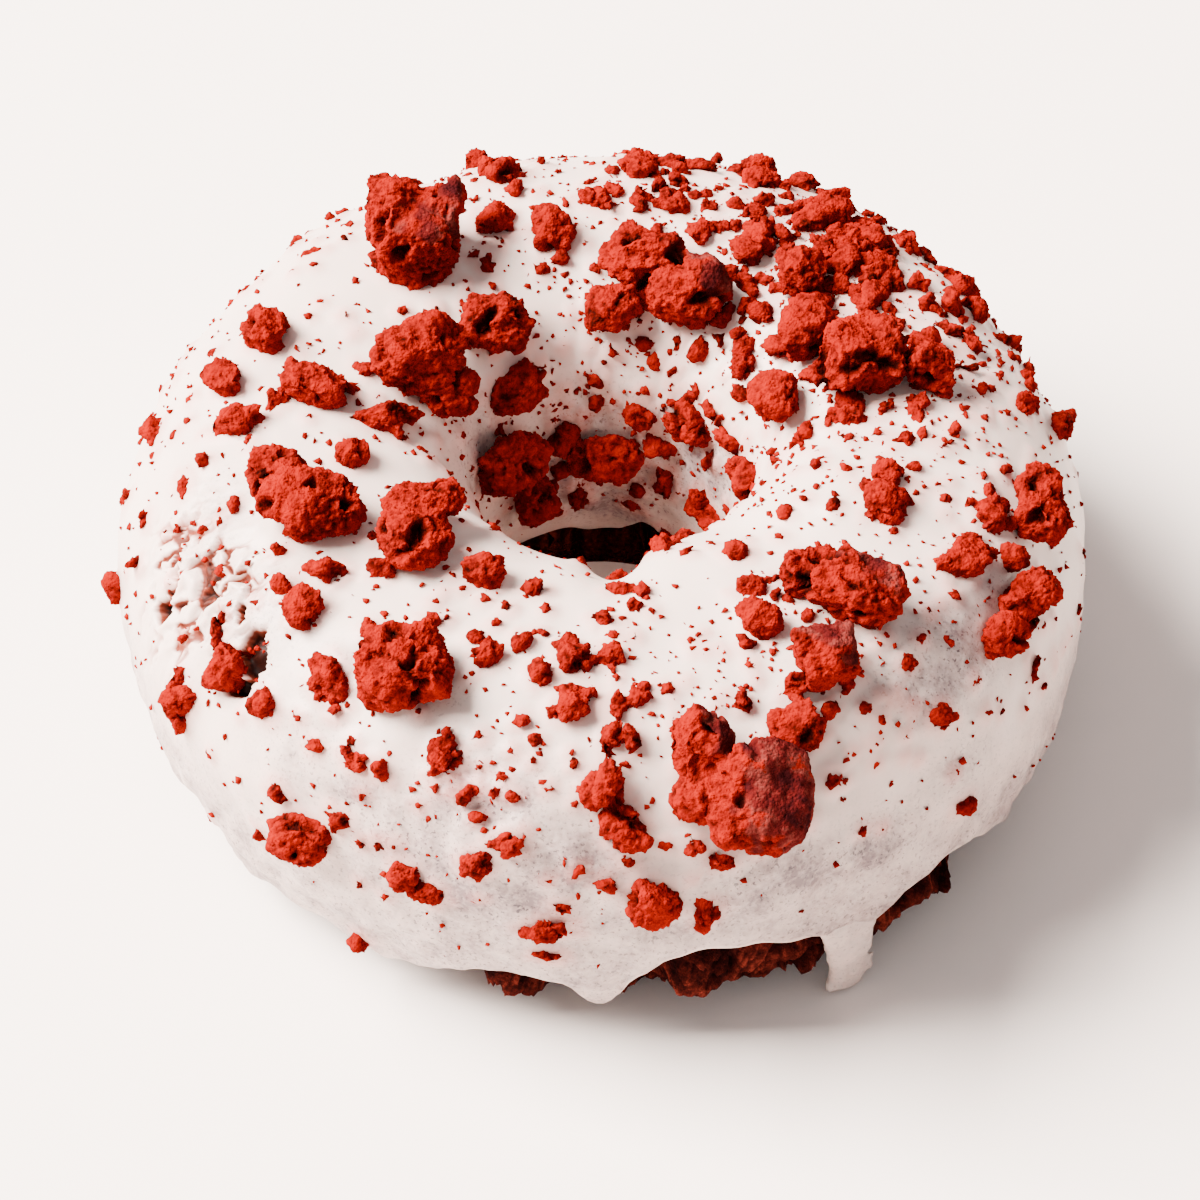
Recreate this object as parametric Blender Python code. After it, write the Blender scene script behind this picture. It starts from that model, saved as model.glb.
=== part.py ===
"""A ring of red cake, dipped in white glaze and topped with crumbs of the same cake.

Two angles in degrees give a place on the ring. The bearing runs round the hole: 0 is +X, 90 is +Y
and -90 is the front. The section angle runs round the ring's own section: 0 points away from the
hole, 90 up, 180 into the hole, and below 0 the side turns in under the ring.
"""

import math
import random

import bmesh
import bpy
from mathutils import Vector, noise

MM = 0.001

# The ring, measured over its glaze
RING_RADIUS = 26.8 * MM
OUTER_HALF_WIDTH = 15.7 * MM
HALF_HEIGHT = 17.0 * MM
SECTION_HEIGHT = 16.0 * MM
SECTION_POWER = 2.15
CENTRE = Vector((0.45 * MM, 1.3 * MM, SECTION_HEIGHT))

# The hole is pinched on both sides of a notch at its front: bearing, width, change of radius
HOLE_RADIUS = 11.4 * MM
HOLE_FORMS = ((-125, 30, -2.4 * MM), (-52, 24, -2.6 * MM), (-84, 8, 2.6 * MM), (5, 18, 1.6 * MM))
HOLE_RIM_POWER = 3.0

# Swells and dents of the dipped surface: bearing, section angle, their widths, height
SWELLS = (
    (-32, -25, 12, 20, 0.5 * MM),
    (-47, 50, 9, 14, 0.7 * MM),
    (-28, 45, 7, 10, -0.7 * MM),
    (-18, 105, 10, 14, 0.7 * MM),
    (-40, 130, 8, 12, -0.5 * MM),
    (-100, 30, 8, 12, 0.5 * MM),
    (-118, 20, 7, 12, -0.5 * MM),
    (-98, 168, 6, 14, 1.6 * MM),
    (178, 10, 35, 30, -0.5 * MM),
    (-150, 45, 7, 12, -0.6 * MM),
    (-74, 10, 7, 14, 0.5 * MM),
    (60, 60, 14, 20, 0.5 * MM),
    (-90, -32, 2.2, 9, 0.6 * MM),
)
LUMP_SIZE = 9.0 * MM
LUMP_HEIGHT = 0.55 * MM
DIMPLE_SIZE = 4.0 * MM
DIMPLE_HEIGHT = 0.18 * MM

# The glaze
GLAZE_THICKNESS = 1.5 * MM
GAP = 0.3 * MM
CAKE_GAP = 0.6 * MM
LIP_SWELL = 0.45 * MM
LIP_DEGREES = 7.0
FLOOR_CLEARANCE = 0.7 * MM

# Lower edge of the glaze: bearing, section angle
EDGE = (
    (-180, -41), (-165, -36), (-158, -42), (-148, -45), (-135, -40), (-125, -44), (-114, -38),
    (-107.5, -28.5), (-104, -23), (-99.5, -22), (-94.4, -25), (-90.7, -38.5), (-89.3, -38.5),
    (-85.8, -18), (-82, -9), (-78.5, -6), (-73, -9.5), (-66.5, -17.5), (-61, -22),
    (-57, -26), (-53, -16.5), (-47, -11.5), (-42, -16), (-37, -24), (-30, -36), (-15, -42),
    (0, -36), (15, -44), (30, -32), (45, -38), (60, -47), (70, -35), (90, -26), (105, -38),
    (118, -30), (130, -46), (140, -36), (155, -29), (170, -42),
)
HOLE_EDGE = 212.0
HOLE_EDGE_WAVES = ((3, 40, 8.0), (7, 10, 4.0))
HOLE_DRIP = (88, 8, 26.0)

# The drip that hangs free at the front right: height, radius from the axis, half width, half depth
DRIP_BEARING = -59.0
DRIP_SECTIONS = (
    (13.0 * MM, 41.55 * MM, 2.7 * MM, 0.50 * MM),
    (10.6 * MM, 41.35 * MM, 2.9 * MM, 0.85 * MM),
    (8.0 * MM, 41.25 * MM, 2.6 * MM, 1.00 * MM),
    (5.0 * MM, 41.15 * MM, 2.1 * MM, 0.95 * MM),
    (2.6 * MM, 41.10 * MM, 1.9 * MM, 0.95 * MM),
    (1.2 * MM, 41.10 * MM, 1.4 * MM, 0.75 * MM),
    (0.8 * MM, 41.10 * MM, 0.7 * MM, 0.40 * MM),
)
DRIP_SIDES = 8

# The cake: how far its bare side swells and how deep its crags are
BARE_SWELL = 1.6 * MM
FRONT_SWELLS = ((-70, 18, 1.2 * MM), (-40, 9, 1.0 * MM), (-103, 10, 0.7 * MM))
SWELL_START = 4.0
EDGE_REACH = (-6, -3, 0, 3, 6)
SWELL_DEGREES = 14.0
CRAG_SIZE = 3.2 * MM
CRAG_DEPTH = 1.5 * MM

# Its foot spreads into the hole: section angle, width, extra reach, and how far it stays off the floor
HOLE_FOOT = (230, 14, 4.5 * MM)
FOOT_CLEARANCE = 0.6 * MM
BASE_OUTER_RADIUS = 34.4 * MM
BASE_INNER_RADIUS = 14.2 * MM

# Mesh spacing, in degrees
FRONT_START = -112.5
FRONT_END = -32.5
FRONT_STEP = 2.5
BACK_COLUMNS = 37
GLAZE_STATIONS = range(10, 191, 15)
CAKE_TOP_STATIONS = range(10, 191, 30)
CAKE_SIDE_STATIONS = (-60, -49, -38, -27, -16, -4)
CAKE_HOLE_STATIONS = (205, 219, 233)

# Further loops of the glaze, as shares of the way from its lower edge up to the first station, and
# from the last station on to its edge in the hole
OUTER_SIDE_SHARES = (0, 0.3, 0.65)
INNER_SIDE_SHARES = (0, 0.33, 0.67)
OUTER_HOLE_SHARE = 0.6
INNER_HOLE_SHARE = 0.5

# Each edge of the glaze is rounded over: how many degrees it stands out, and how deep its middle is
EDGE_BULGE = 2.2
EDGE_MIDDLE = 0.35

# Large crumbs, each a piece of its own: bearing, section angle, turn in degrees, then length,
# width and height in millimetres, and how square it is. With no turn the length runs round the
# ring. A further row with the same name is a lobe of the same crumb.
LARGE_CRUMBS = (
    ("crumb_front", -71, 42.5, -18, 9.8, 9.4, 7.0, 0.15),
    ("crumb_front", -76.5, 60, 0, 5.6, 6.0, 4.2, 0.10),
    ("crumb_front", -77, 47, 0, 5.0, 4.8, 3.8, 0.10),
    ("crumb_front_right", -45.5, 80.5, -75, 9.0, 6.4, 5.2, 0.15),
    ("crumb_front_right", -47, 94, -45, 5.2, 4.6, 4.0, 0.10),
    ("crumb_block_right", -56, 70, -15, 5.4, 5.0, 4.6, 0.65),
    ("crumb_front_left", -119.5, 71, 30, 8.4, 7.4, 6.2, 0.15),
    ("crumb_right_low", -24, 46.5, 0, 6.4, 4.8, 4.0, 0.15),
    ("crumb_right_low", -31, 45.5, 0, 5.0, 3.8, 3.0, 0.10),
    ("crumb_right", -10.5, 52.5, 10, 8.2, 5.2, 4.0, 0.15),
    ("crumb_right_top", 14.5, 102, -105, 9.0, 7.8, 5.8, 0.20),
    ("crumb_block_top", 10.5, 83.5, -100, 4.6, 4.6, 4.6, 0.60),
    ("crumb_right_inner", 14, 124, -104, 4.8, 4.4, 3.6, 0.15),
    ("crumb_back_right", 27, 110, -117, 5.2, 5.2, 4.2, 0.15),
    ("crumb_back_right_far", 44, 98, -134, 4.8, 4.8, 3.8, 0.15),
    ("crumb_back", 64, 119, -154, 7.4, 6.6, 5.4, 0.15),
    ("crumb_back", 78, 112, -168, 7.4, 5.6, 4.6, 0.15),
    ("crumb_back_small", 86, 126.5, 0, 4.6, 4.8, 3.8, 0.15),
    ("crumb_back_left", 128, 92, -38, 8.6, 8.0, 7.6, 0.65),
    ("crumb_left_inner", 155.5, 118, -65, 8.4, 7.4, 6.4, 0.15),
    ("crumb_left_inner", 157, 129, -65, 6.0, 5.0, 4.0, 0.10),
    ("crumb_back_inner", 125.5, 124, -35, 6.2, 5.6, 4.6, 0.15),
    ("crumb_left", -155, 90, 65, 8.2, 5.6, 4.8, 0.15),
    ("crumb_left", -165.5, 85, 65, 5.2, 4.4, 3.4, 0.10),
    ("crumb_left_far", 172, 97.5, -82, 6.0, 4.4, 3.4, 0.15),
    ("crumb_left_rim", -143.5, 116, 54, 6.4, 5.6, 4.4, 0.15),
    ("crumb_left_rim", -135.5, 106, 40, 5.6, 5.8, 4.0, 0.10),
    ("crumb_hole_left", 143.5, 159, 0, 7.0, 7.0, 4.4, 0.15),
    ("crumb_hole_back", 88, 170, 0, 6.6, 5.6, 3.8, 0.15),
    ("crumb_hole_low", 126, 184, 0, 4.2, 5.2, 3.2, 0.15),
)
LARGE_SIDES = 11
LARGE_RINGS = 7
SMALL_SIDES = 8
SMALL_RINGS = 6
LARGE_FROM = 6.5

# A large crumb rests just clear of the glaze, and is pressed flat where a neighbour would touch it.
# NEAR is how many radii apart two crumbs still count as neighbours.
CRUMB_CLEARANCE = 0.36 * MM
NEIGHBOUR_CLEARANCE = 0.18 * MM
NEAR = 1.4

# Crumbs that lie in the glaze: bearing, section angle, width in millimetres
SET_CRUMBS = (
    (-119, 112, 5.2), (-109, 85, 4.4), (-60, 91, 4.4), (-87, 40, 4.4), (-84, 16, 4.6),
    (-126, 12, 4.9), (-104, 26, 3.3), (-144, 44, 4.3), (-140, 72, 4.0), (-119, 55, 3.4),
    (160, 76, 4.7), (170, 70, 4.3), (100, 101, 4.5), (-170, 107, 3.7), (51, 152, 4.4),
    (112, 91, 3.0), (179, 75, 3.4), (128, 141, 4.0), (84, 73, 3.3), (106, 164, 2.8),
    (65, 65, 3.0), (53, 75, 4.2), (45, 74, 3.4), (41, 59, 2.6), (40, 26, 2.8), (27, 55, 2.8),
    (37, 78, 3.0), (1, 110, 3.2), (8, 53, 2.6), (9, 36, 3.0), (-15, 96, 2.8), (-23, 93, 3.5),
    (-16, 65, 3.3), (-26, 66, 3.8), (-64, 56, 3.8), (-45, 41, 2.4), (-95, 88, 2.9),
    (-100, 82, 2.4), (-88, 90, 2.4), (-52, 116, 2.4), (-94, 73, 3.3), (-88, 65, 2.9),
    (-90, 51, 3.3), (-110, 54, 3.3), (-78, 10, 2.3), (-96, 4, 3.0), (-113, 13, 2.8),
    (-109, 9, 2.5), (-136, 44, 2.8), (-128, 62, 3.8), (-148, 23, 3.3), (-174, 3, 3.0),
    (38, 179, 2.8), (106, 73, 3.4), (117, 48, 2.6), (159, 127, 3.2), (72, 155, 2.5),
    (4, 148, 3.4), (-20, 158, 3.4), (-45, 150, 3.0), (-57, 147, 2.4), (-80, 147, 3.0),
    (-130, 103, 3.4), (15, 45, 2.6), (-121, 44, 2.4), (-100, 34, 2.4), (27, 146, 2.4),
    (41, 90, 3.0), (58, 102, 3.0), (66, 92, 2.6), (75, 88, 2.4), (45, 113, 3.2), (40, 124, 2.6),
    (90, 90, 2.4),
)
SET_LENGTH = 1.1
SET_WIDTH = 0.9
SET_HEIGHT = 0.8
SET_SQUARE = 0.15
SET_DEPTH = 0.5 * MM
SMALLEST_SET = 1.5 * MM
ROUNDER_FROM = 4.45 * MM

# Room kept between them and a large crumb, as shares of the large radius and of their own
LARGE_ROOM = 1.3
SET_ROOM = 1.25

# A few more lie on the far side
FAR_CRUMBS = 8
FAR_BEARINGS = (15, 165)
FAR_ANGLES = (-10, 50)
FAR_SIZES = (3.2 * MM, 2.2 * MM)
FAR_SPACING = 3.0 * MM
FAR_SEED = 41

# Form of every crumb: height of its middle, then the size and the pitch of its lumps and knobs
CRUMB_MIDDLE = 0.4
CRUMB_LUMPS = 0.34
LUMP_PITCH = 1.4
CRUMB_KNOBS = 0.16
KNOB_PITCH = 3.1
CRUMB_SHIFT = Vector((3.7, 1.9, 5.3))

CAKE_COLOUR = "5a1a12"
GLAZE_COLOUR = "f1e6e1"
CRUMB_COLOUR = "a92a18"


def srgb(code):
    """A hex colour as the linear values a shader takes."""
    parts = [int(code[i : i + 2], 16) / 255 for i in (0, 2, 4)]
    linear = [part / 12.92 if part <= 0.04045 else ((part + 0.055) / 1.055) ** 2.4 for part in parts]
    return (*linear, 1.0)


def finish(name, code, roughness):
    """A plain opaque material."""
    material = bpy.data.materials.new(name)
    material.use_nodes = True
    shader = material.node_tree.nodes["Principled BSDF"]
    shader.inputs["Base Color"].default_value = srgb(code)
    shader.inputs["Roughness"].default_value = roughness
    shader.inputs["Metallic"].default_value = 0.0
    return material


def ease(share):
    """0 below 0, 1 above 1, and a smooth step between them."""
    share = min(max(share, 0.0), 1.0)
    return share * share * (3 - 2 * share)


def hump(angle, middle, width):
    """1 at the middle angle, falling away within a few widths of it."""
    away = (angle - middle + 180) % 360 - 180
    return math.exp(-0.5 * (away / width) ** 2)


def ring_point(bearing, angle, reach):
    """The point at a distance from the middle of the ring's section."""
    turn = math.radians(bearing)
    lean = math.radians(angle)
    radius = RING_RADIUS + math.cos(lean) * reach
    return CENTRE + Vector((math.cos(turn) * radius, math.sin(turn) * radius, math.sin(lean) * reach))


def ring_place(point):
    """Bearing, section angle and reach of a point."""
    local = point - CENTRE
    out = math.hypot(local.x, local.y) - RING_RADIUS
    angle = math.degrees(math.atan2(local.z, out))
    if angle < -90:
        angle += 360
    return math.degrees(math.atan2(local.y, local.x)), angle, math.hypot(out, local.z)


def hole_radius(bearing):
    """Radius of the hole at its narrowest, before the swells of the glaze."""
    return HOLE_RADIUS + sum(change * hump(bearing, middle, width) for middle, width, change in HOLE_FORMS)


def plain_reach(bearing, angle):
    """Reach of the ring's plain section, a rounded form that flattens where it would pass the floor."""
    across = math.cos(math.radians(angle))
    up = math.sin(math.radians(angle))
    half_width = OUTER_HALF_WIDTH if across > 0 else RING_RADIUS - hole_radius(bearing)
    power = HOLE_RIM_POWER if across < 0 < up else SECTION_POWER
    total = (abs(across) / half_width) ** power + (abs(up) / HALF_HEIGHT) ** power
    reach = total ** (-1 / power)
    if up < 0:
        reach = min(reach, SECTION_HEIGHT / -up)
    return reach


def glaze_reach(bearing, angle):
    """Reach of the glaze's outer face, with its broad lumps, dimples, swells and dents."""
    plain = plain_reach(bearing, angle)
    where = ring_point(bearing, angle, plain)
    lumps = LUMP_HEIGHT * noise.noise(where / LUMP_SIZE)
    dimples = DIMPLE_HEIGHT * noise.noise(where / DIMPLE_SIZE)
    swells = sum(
        height * hump(bearing, at, wide) * hump(angle, level, tall)
        for at, level, wide, tall, height in SWELLS
    )
    return plain + lumps + dimples + swells


def edge_angle(bearing):
    """Section angle of the glaze's lower edge, eased from each point of EDGE to the next."""
    turn = (bearing + 180) % 360 - 180
    ends = EDGE + ((EDGE[0][0] + 360, EDGE[0][1]),)
    for (start, low), (stop, high) in zip(ends, ends[1:]):
        if start <= turn <= stop:
            return low + (high - low) * ease((turn - start) / (stop - start))
    return EDGE[0][1]


def hole_edge_angle(bearing):
    """Section angle at which the glaze ends inside the hole."""
    waves = sum(
        size * math.sin(math.radians(count * bearing + shift)) for count, shift, size in HOLE_EDGE_WAVES
    )
    middle, width, length = HOLE_DRIP
    return HOLE_EDGE + waves + length * hump(bearing, middle, width)


def lip(bearing, angle):
    """Extra thickness of the glaze where it gathered at its edges."""
    outer = math.exp(-(((angle - edge_angle(bearing)) / LIP_DEGREES) ** 2))
    inner = math.exp(-(((angle - hole_edge_angle(bearing)) / LIP_DEGREES) ** 2))
    return LIP_SWELL * (outer + inner)


def cake_reach(bearing, angle):
    """Reach of the cake: a gap inside the glaze, and swollen and craggy where it is bare."""
    covered = glaze_reach(bearing, angle) - GLAZE_THICKNESS - CAKE_GAP
    lowest = min(edge_angle(bearing + step) for step in EDGE_REACH)
    deepest = max(hole_edge_angle(bearing + step) for step in EDGE_REACH)
    beyond = max(lowest - angle, angle - deepest)
    bare = ease((beyond - SWELL_START) / SWELL_DEGREES)
    swell = BARE_SWELL + sum(extra * hump(bearing, middle, width) for middle, width, extra in FRONT_SWELLS)
    crags = CRAG_DEPTH * noise.noise(ring_point(bearing, angle, covered) / CRAG_SIZE)
    middle, width, extra = HOLE_FOOT
    foot = extra * hump(angle, middle, width)
    reach = covered + bare * (swell + crags + foot)
    up = math.sin(math.radians(angle))
    return min(reach, (SECTION_HEIGHT - FOOT_CLEARANCE) / -up) if up < 0 else reach


def columns():
    """Bearings of the mesh columns, close together at the front where the edge runs in lobes."""
    front = round((FRONT_END - FRONT_START) / FRONT_STEP)
    close = [FRONT_START + FRONT_STEP * i for i in range(front)]
    wide = (360 + FRONT_START - FRONT_END) / BACK_COLUMNS
    return close + [FRONT_END + wide * i for i in range(BACK_COLUMNS)]


def add_object(name, bm, material):
    """A smooth-shaded object from a finished bmesh."""
    mesh = bpy.data.meshes.new(name)
    bm.to_mesh(mesh)
    bm.free()
    mesh.materials.append(material)
    mesh.shade_smooth()
    thing = bpy.data.objects.new(name, mesh)
    bpy.context.scene.collection.objects.link(thing)
    return thing


def wrapped(sections):
    """A closed skin over section loops that follow one another round the ring."""
    bm = bmesh.new()
    rows = [[bm.verts.new(point) for point in section] for section in sections]
    for row, following in zip(rows, rows[1:] + rows[:1]):
        for i in range(len(row)):
            j = (i + 1) % len(row)
            bm.faces.new((row[i], row[j], following[j], following[i]))
    bmesh.ops.recalc_face_normals(bm, faces=bm.faces)
    return bm


def cake_section(bearing):
    """Loop round the cake's section, up the side, over the top, down the hole and along the base."""
    angles = (*CAKE_SIDE_STATIONS, *CAKE_TOP_STATIONS, *CAKE_HOLE_STATIONS)
    loop = [ring_point(bearing, angle, cake_reach(bearing, angle)) for angle in angles]
    turn = math.radians(bearing)
    for radius in (BASE_INNER_RADIUS, BASE_OUTER_RADIUS):
        loop.append(Vector((CENTRE.x + radius * math.cos(turn), CENTRE.y + radius * math.sin(turn), 0.0)))
    return loop


def glaze_section(bearing):
    """Loop round the glaze's section: its outer face, the lip in the hole, its inner face, the lip."""
    low = edge_angle(bearing)
    deep = hole_edge_angle(bearing)
    first = GLAZE_STATIONS[0]
    last = GLAZE_STATIONS[-1]
    outer_side = [low + (first - low) * share for share in OUTER_SIDE_SHARES]
    outer = [*outer_side, *GLAZE_STATIONS, last + (deep - last) * OUTER_HOLE_SHARE, deep]
    inner_side = [low + (first - low) * share for share in INNER_SIDE_SHARES]
    inner = [*inner_side, *CAKE_TOP_STATIONS, last + (deep - last) * INNER_HOLE_SHARE, deep]
    loop = []
    for angle in outer:
        loop.append(ring_point(bearing, angle, glaze_reach(bearing, angle) + lip(bearing, angle)))
    middle = glaze_reach(bearing, deep) - GLAZE_THICKNESS * EDGE_MIDDLE
    loop.append(ring_point(bearing, deep + EDGE_BULGE, middle))
    for angle in reversed(inner):
        loop.append(ring_point(bearing, angle, glaze_reach(bearing, angle) - GLAZE_THICKNESS))
    middle = glaze_reach(bearing, low) - GLAZE_THICKNESS * EDGE_MIDDLE
    loop.append(ring_point(bearing, low - EDGE_BULGE, middle))
    for point in loop:
        point.z = max(point.z, FLOOR_CLEARANCE)
    return loop


def hanging_drip(material):
    """The long drip, an upright tongue whose top is sunk in the glaze."""
    turn = math.radians(DRIP_BEARING)
    out = Vector((math.cos(turn), math.sin(turn), 0.0))
    side = Vector((-out.y, out.x, 0.0))
    bm = bmesh.new()
    rows = []
    for height, radius, half_width, half_depth in DRIP_SECTIONS:
        middle = Vector((CENTRE.x, CENTRE.y, height)) + out * radius
        row = []
        for i in range(DRIP_SIDES):
            step = math.tau * i / DRIP_SIDES
            row.append(
                bm.verts.new(middle + side * math.cos(step) * half_width + out * math.sin(step) * half_depth)
            )
        rows.append(row)
    for row, following in zip(rows, rows[1:]):
        for i in range(DRIP_SIDES):
            j = (i + 1) % DRIP_SIDES
            bm.faces.new((row[i], row[j], following[j], following[i]))
    bm.faces.new(rows[0])
    bm.faces.new(rows[-1])
    bmesh.ops.recalc_face_normals(bm, faces=bm.faces)
    return add_object("drip", bm, material)


def seat(bearing, angle, turn=0.0):
    """A point on the glaze, with the directions round the ring, across it and out of it there."""
    step = 0.5
    here = ring_point(bearing, angle, glaze_reach(bearing, angle))
    along = ring_point(bearing + step, angle, glaze_reach(bearing + step, angle)) - here
    across = ring_point(bearing, angle + step, glaze_reach(bearing, angle + step)) - here
    out = along.cross(across).normalized()
    along = along.normalized()
    across = out.cross(along)
    swing = math.radians(turn)
    return (
        here,
        along * math.cos(swing) + across * math.sin(swing),
        across * math.cos(swing) - along * math.sin(swing),
        out,
    )


def lifted(point, clearance):
    """The point, moved out of the ring until it stands clear of the glaze's outer face."""
    bearing, angle, reach = ring_place(point)
    return ring_point(bearing, angle, max(reach, glaze_reach(bearing, angle) + clearance))


def shape_crumb(bm, place, size, square, clearance, seed):
    """Turns a unit sphere into a lumpy crumb that lies on the glaze, and returns its middle."""
    here, along, across, out = place
    length, width, height = size
    middle = here + out * (height * CRUMB_MIDDLE + clearance)
    shift = CRUMB_SHIFT * seed
    for vert in bm.verts:
        direction = vert.co.normalized()
        boxy = 1 + square * (1 / max(abs(part) for part in direction) - 1)
        lumps = CRUMB_LUMPS * noise.noise(direction * LUMP_PITCH + shift)
        knobs = CRUMB_KNOBS * noise.noise(direction * KNOB_PITCH + shift)
        spot = direction * boxy * (1 + lumps + knobs) * 0.5
        vert.co = lifted(
            middle + along * spot.x * length + across * spot.y * width + out * spot.z * height, clearance
        )
    return middle


def large_crumb_seats():
    """Name, middle and radius of every large crumb and lobe, for keeping its neighbours off it."""
    seats = []
    for name, bearing, angle, _turn, length, width, height, _square in LARGE_CRUMBS:
        here, _along, _across, out = seat(bearing, angle)
        seats.append((name, here + out * height * MM * CRUMB_MIDDLE, (length + width) * MM / 4))
    return seats


def flatten_towards(bm, name, middle, radius, seats):
    """Presses a crumb flat where it would meet another, a little short of the plane between them."""
    for other, centre, reach in seats:
        away = centre - middle
        if other == name or away.length > NEAR * (radius + reach):
            continue
        limit = away.length * radius / (radius + reach) - NEIGHBOUR_CLEARANCE
        away.normalize()
        for vert in bm.verts:
            past = (vert.co - middle).dot(away) - limit
            if past > 0:
                vert.co = lifted(vert.co - away * past, CRUMB_CLEARANCE)


def join_into(base, helpers):
    """One Boolean union of the helpers into the base, applied, with the helpers then removed."""
    group = bpy.data.collections.new("joined")
    bpy.context.scene.collection.children.link(group)
    for helper in helpers:
        bpy.context.scene.collection.objects.unlink(helper)
        group.objects.link(helper)
    union = base.modifiers.new("union", "BOOLEAN")
    union.operation = "UNION"
    union.operand_type = "COLLECTION"
    union.collection = group
    union.solver = "EXACT"
    union.use_self = True
    graph = bpy.context.evaluated_depsgraph_get()
    joined = bpy.data.meshes.new_from_object(base.evaluated_get(graph))
    base.modifiers.remove(union)
    base.data = joined
    for helper in helpers:
        bpy.data.objects.remove(helper)
    bpy.data.collections.remove(group)
    keep_largest(base)
    base.data.shade_smooth()


def span(verts):
    """Length of the diagonal of the box round some vertices."""
    low = Vector(min(vert.co[i] for vert in verts) for i in range(3))
    high = Vector(max(vert.co[i] for vert in verts) for i in range(3))
    return (high - low).length


def keep_largest(thing):
    """Drops the loose scraps that a union left, and fills what it sealed off."""
    bm = bmesh.new()
    bm.from_mesh(thing.data)
    left = set(bm.verts)
    groups = []
    while left:
        group = {left.pop()}
        front = list(group)
        while front:
            for edge in front.pop().link_edges:
                for vert in edge.verts:
                    if vert in left:
                        left.remove(vert)
                        group.add(vert)
                        front.append(vert)
        groups.append(group)
    groups.sort(key=span)
    scraps = [vert for group in groups[:-1] for vert in group]
    bmesh.ops.delete(bm, geom=scraps, context="VERTS")
    bm.to_mesh(thing.data)
    bm.free()


def build_large_crumbs(material):
    """Each large crumb as a piece of its own, its lobes joined to it."""
    seats = large_crumb_seats()
    pieces = {}
    for seed, row in enumerate(LARGE_CRUMBS):
        name, bearing, angle, turn, length, width, height, square = row
        large = max(length, width) > LARGE_FROM
        bm = bmesh.new()
        bmesh.ops.create_uvsphere(
            bm,
            u_segments=LARGE_SIDES if large else SMALL_SIDES,
            v_segments=LARGE_RINGS if large else SMALL_RINGS,
            radius=1.0,
        )
        size = (length * MM, width * MM, height * MM)
        middle = shape_crumb(bm, seat(bearing, angle, turn), size, square, CRUMB_CLEARANCE, seed)
        flatten_towards(bm, name, middle, (length + width) * MM / 4, seats)
        lobe = name in pieces
        thing = add_object(name + "_lobe" if lobe else name, bm, material)
        pieces.setdefault(name, []).append(thing)
    for first, *lobes in pieces.values():
        if lobes:
            join_into(first, lobes)


def set_crumb_places():
    """Bearing, section angle and width of every crumb that lies in the glaze."""
    places = [(bearing, angle, width * MM) for bearing, angle, width in SET_CRUMBS]
    spots = [(seat(bearing, angle)[0], width) for bearing, angle, width in places]
    draw = random.Random(FAR_SEED)
    largest, smallest = FAR_SIZES
    placed = 0
    while placed < FAR_CRUMBS:
        bearing = draw.uniform(*FAR_BEARINGS)
        angle = draw.uniform(*FAR_ANGLES)
        width = largest + (smallest - largest) * placed / FAR_CRUMBS
        here = seat(bearing, angle)[0]
        if any((here - spot).length < (width + wide) / 2 + FAR_SPACING for spot, wide in spots):
            continue
        places.append((bearing, angle, width))
        spots.append((here, width))
        placed += 1
    return places


def build_set_crumbs(material):
    """The smaller crumbs, sunk a little in the glaze and clear of the large ones."""
    seats = large_crumb_seats()
    crumbs = []
    for seed, (bearing, angle, width) in enumerate(set_crumb_places()):
        place = seat(bearing, angle, seed * 37.0)
        room = min((place[0] - centre).length - LARGE_ROOM * reach for _name, centre, reach in seats)
        width = min(width, 2 * (room - GAP) / SET_ROOM)
        if width < SMALLEST_SET:
            continue
        bm = bmesh.new()
        bmesh.ops.create_icosphere(bm, subdivisions=2 if width > ROUNDER_FROM else 1, radius=1.0)
        size = (width * SET_LENGTH, width * SET_WIDTH, width * SET_HEIGHT)
        shape_crumb(bm, place, size, SET_SQUARE, -SET_DEPTH, seed + 0.5)
        crumbs.append(add_object("set_crumb", bm, material))
    return crumbs


def main():
    for thing in list(bpy.data.objects):
        bpy.data.objects.remove(thing)
    cake = finish("red_cake", CAKE_COLOUR, 0.9)
    icing = finish("white_glaze", GLAZE_COLOUR, 0.35)
    crumb = finish("cake_crumb", CRUMB_COLOUR, 0.85)
    add_object("cake", wrapped([cake_section(bearing) for bearing in columns()]), cake)
    glaze = add_object("glaze", wrapped([glaze_section(bearing) for bearing in columns()]), icing)
    join_into(glaze, [hanging_drip(icing), *build_set_crumbs(crumb)])
    build_large_crumbs(crumb)


main()
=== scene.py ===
import math
import random

import bmesh
import bpy
import numpy as np
from mathutils import Euler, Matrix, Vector, noise
from mathutils.kdtree import KDTree


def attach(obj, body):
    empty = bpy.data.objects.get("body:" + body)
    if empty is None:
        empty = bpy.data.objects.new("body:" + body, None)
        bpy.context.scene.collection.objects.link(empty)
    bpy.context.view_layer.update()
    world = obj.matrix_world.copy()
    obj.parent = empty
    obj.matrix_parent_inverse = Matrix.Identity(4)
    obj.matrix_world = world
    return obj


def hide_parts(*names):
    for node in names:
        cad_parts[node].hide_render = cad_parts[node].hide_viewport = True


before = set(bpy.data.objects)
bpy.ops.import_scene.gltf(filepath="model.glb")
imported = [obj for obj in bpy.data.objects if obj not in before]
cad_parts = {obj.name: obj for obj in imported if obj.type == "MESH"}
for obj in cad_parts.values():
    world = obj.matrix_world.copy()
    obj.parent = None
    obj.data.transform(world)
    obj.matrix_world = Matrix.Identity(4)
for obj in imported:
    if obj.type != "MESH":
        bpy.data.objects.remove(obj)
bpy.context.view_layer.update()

MM = 0.001

# Without a seed, Blender draws the offsets of its vector noise anew each time it starts
noise.seed_set(5)

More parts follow.
